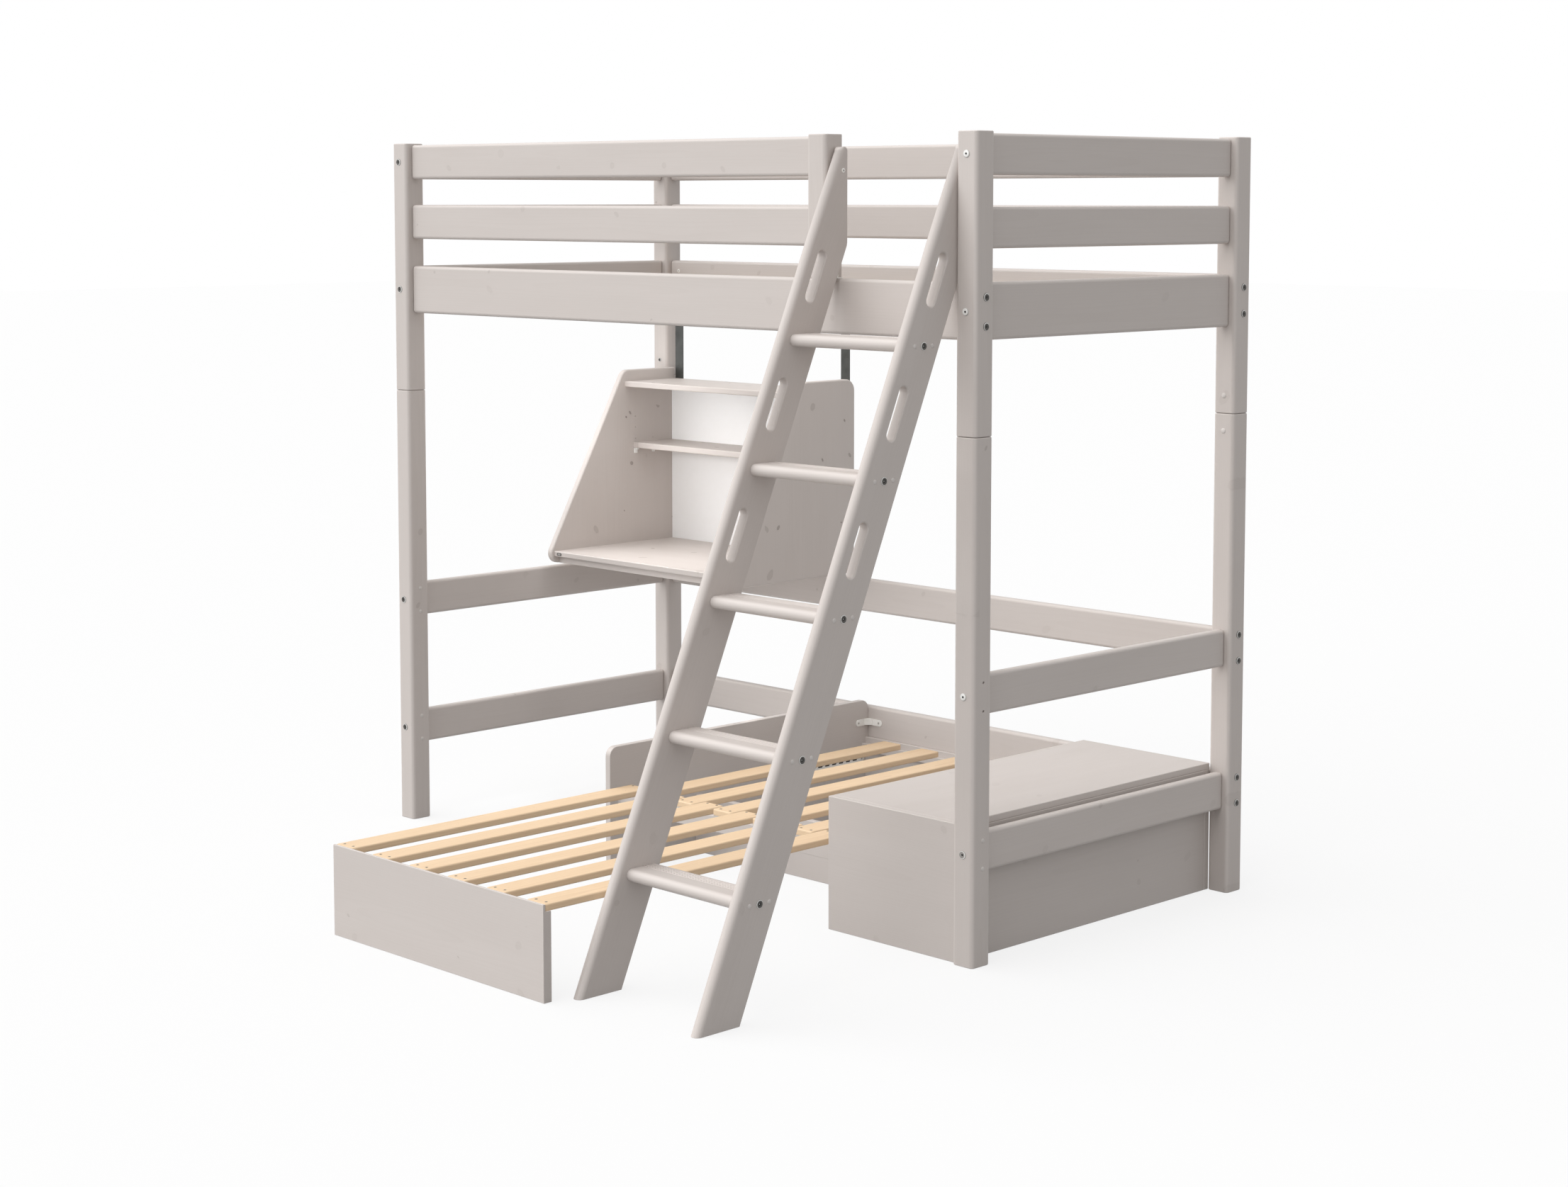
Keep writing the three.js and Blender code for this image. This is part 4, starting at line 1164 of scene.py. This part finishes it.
def makeRunner(node, s, way):
    low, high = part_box(node)
    skin = Skin()
    face = high[0] if way > 0 else low[0]
    z = (low[2] + high[2]) / 2
    count = int((high[1] - low[1] - s["firstSlot"]) / s["slotPitch"])
    slot = (s["slotRadius"], high[0] - low[0] - s["shadeSheet"], s["edge"], s["slotHalf"], (0, 1, 0), True)
    mouths = []
    for k in range(count):
        y = high[1] - s["firstSlot"] - k * s["slotPitch"]
        mouths.append(bore(skin, (face, y, z), (way, 0, 0), *slot))
    near, far = zip(*mouths)
    caps = (far, near) if way > 0 else (near, far)
    outline = rectangle(low[1:], high[1:], s["endRound"])
    span = (low[0] + s["shadeSheet"], high[0]) if way > 0 else (low[0], high[0] - s["shadeSheet"])
    carry(skin, outline, 0, span, s["edge"], None, caps, 2)
    addPiece(node + "_strip", skin.mesh(node), [plain("whiteMetal")], "frame", (node,))
    # The dark sheet behind the slots is painted shade.
    span = (low[0], span[0]) if way > 0 else (span[1], high[0])
    inner = (span[0], low[1] + s["slotPitch"], low[2] + s["slotRadius"])
    outer = (span[1], high[1] - s["endHole"], high[2] - s["slotRadius"])
    plate(node + "_shade", "paintedRecessShade", inner, outer, 0, s["shadeSheetEdge"], "dark_steel")
    hole = [((face, high[1] - s["endHole"], z), (way, 0, 0))]
    addHardware(node + "_screw", smallScrew, hole, ["screwZinc", "paintedRecessShade"], "frame")


makeRunner("arm_runner", runnerSettings, 1)
makeRunner("chest_runner", runnerSettings, -1)
print("loft bed: brackets and runners")

# Shelf pegs under the loose shelf: a plate on the desk's end, and a tongue that carries the shelf
pegSettings = {
    "fromBack": (0.1575, 0.0895), "width": 0.011, "height": 0.015, "plate": 0.0035, "tongueReach": 0.013,
    "tongueHeight": 0.0042, "tongueShare": 0.7, "gap": 0.0003, "wallGap": 0.0002, "roundShare": 0.3,
    "edge": 0.0005,
}


def makePegs(s):
    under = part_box("loose_shelf")[0][2] - s["gap"]
    leftEnd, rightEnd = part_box("left_desk_end"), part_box("right_desk_end")
    plateForm = (s["plate"], under - s["gap"], s["height"], s["width"] / 2)
    tongueForm = (s["tongueReach"], under, s["tongueHeight"], s["width"] / 2 * s["tongueShare"])
    skin = Skin()
    for wall, way in ((leftEnd[1][0], 1), (rightEnd[0][0], -1)):
        for fromBack in s["fromBack"]:
            y = leftEnd[1][1] - fromBack
            for reach, top, height, half in (plateForm, tongueForm):
                span = sorted((wall + way * s["wallGap"], wall + way * reach))
                corner = s["tongueHeight"] * s["roundShare"]
                outline = rectangle((y - half, top - height), (y + half, top), corner)
                carry(skin, outline, 0, span, s["edge"], steps=2)
    addPiece("shelf_pegs", skin.mesh("shelf_pegs"), [plain("whiteAndPaintedGlint")], "frame")


makePegs(pegSettings)

# Studio: pale floor and soft light. The camera and glossy rays see white beyond the floor.
# A fill lamp has a name, a place, the point that it faces, its size, its spread in degrees and its power.
studioSettings = {
    "floorHalf": 40.0,
    "floorSeen": (0.8, 0.8, 0.8, 1),
    "floorLit": (0.26, 0.26, 0.26, 1),
    "floorRough": 0.9,
    "glowShare": 0.8,
    "sky": 0.62,
    "sunFrom": (-0.42, -0.62, 0.66),
    "sunPower": 2.5,
    "sunAngle": 90.0,
    "loftDrop": 0.03,
    "loftPower": 2.35,
    "fills": (
        ("deskFill", (-0.78, 0.05, 1.09), (-0.76, 0.80, 1.07), (0.26, 0.12), 70, 0.37),
        ("deskGlow", (-0.60, 0.46, 1.38), (-0.60, 0.45, 0.70), (0.6, 0.14), 60, 0.48),
        ("kneeFill", (-0.40, 0.35, 0.40), (-0.42, 0.80, 0.56), (0.5, 0.12), 180, 0.75),
    ),
}


def addFloor(s):
    half = s["floorHalf"]
    mesh = bpy.data.meshes.new("studioFloor")
    corners = [(-half, -half, 0), (half, -half, 0), (half, half, 0), (-half, half, 0)]
    mesh.from_pydata(corners, [], [(0, 1, 2, 3)])
    g = Graph(bpy.data.materials.new("studioFloor"))
    seen = g.studioRays()
    g.set(Base_Color=g.blend(seen, s["floorLit"], s["floorSeen"]), Roughness=s["floorRough"])
    glow = g.node("ShaderNodeEmission", {}, {"Color": (1, 1, 1, 1), "Strength": 1.0})
    surface = Value(g, g.tree.nodes["Principled BSDF"].outputs[0])
    mixed = g.node("ShaderNodeMixShader", {}, {0: seen * s["glowShare"], 1: surface, 2: glow})
    g.feed(g.tree.nodes["Material Output"].inputs["Surface"], mixed)
    mesh.materials.append(g.owner)
    floor = bpy.data.objects.new("studioFloor", mesh)
    bpy.context.scene.collection.objects.link(floor)


# The sky is white to the rays that see it and weaker as a light: sky + seen * (1 - sky).
def addWorld(s):
    world = bpy.data.worlds.new("studioWorld")
    bpy.context.scene.world = world
    g = Graph(world)
    background = g.tree.nodes["Background"]
    g.feed(background.inputs["Color"], (1, 1, 1, 1))
    g.feed(background.inputs["Strength"], g.studioRays() * (1 - s["sky"]) + s["sky"])


# A lamp that shines along its facing.
def addLamp(name, kind, power, facing, place=(0, 0, 0)):
    data = bpy.data.lights.new(name, kind)
    data.energy = power
    lamp = bpy.data.objects.new(name, data)
    lamp.location = place
    lamp.rotation_mode = "QUATERNION"
    lamp.rotation_quaternion = Vector(facing).to_track_quat("-Z", "Y")
    bpy.context.scene.collection.objects.link(lamp)
    return lamp


# A soft box lights what it faces and is not seen itself.
def softBox(name, place, facing, size, power, spread=180):
    lamp = addLamp(name, "AREA", power, facing, place)
    lamp.data.spread = math.radians(spread)
    lamp.data.shape = "RECTANGLE"
    lamp.data.size, lamp.data.size_y = size
    lamp.visible_camera = False
    lamp.visible_glossy = False


def addLights(s):
    sun = addLamp("softSun", "SUN", s["sunPower"], -Vector(s["sunFrom"]))
    sun.data.angle = math.radians(s["sunAngle"])
    low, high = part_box("loft_slatted_base")
    over = ((low[0] + high[0]) / 2, (low[1] + high[1]) / 2, low[2] - s["loftDrop"])
    softBox("loftGlow", over, (0, 0, -1), (high[0] - low[0], high[1] - low[1]), s["loftPower"])
    for name, place, aim, size, spread, power in s["fills"]:
        softBox(name, place, Vector(aim) - Vector(place), size, power, spread)


addFloor(studioSettings)
addWorld(studioSettings)
addLights(studioSettings)
bpy.context.scene.view_settings.view_transform = "Standard"
print("loft bed: studio")
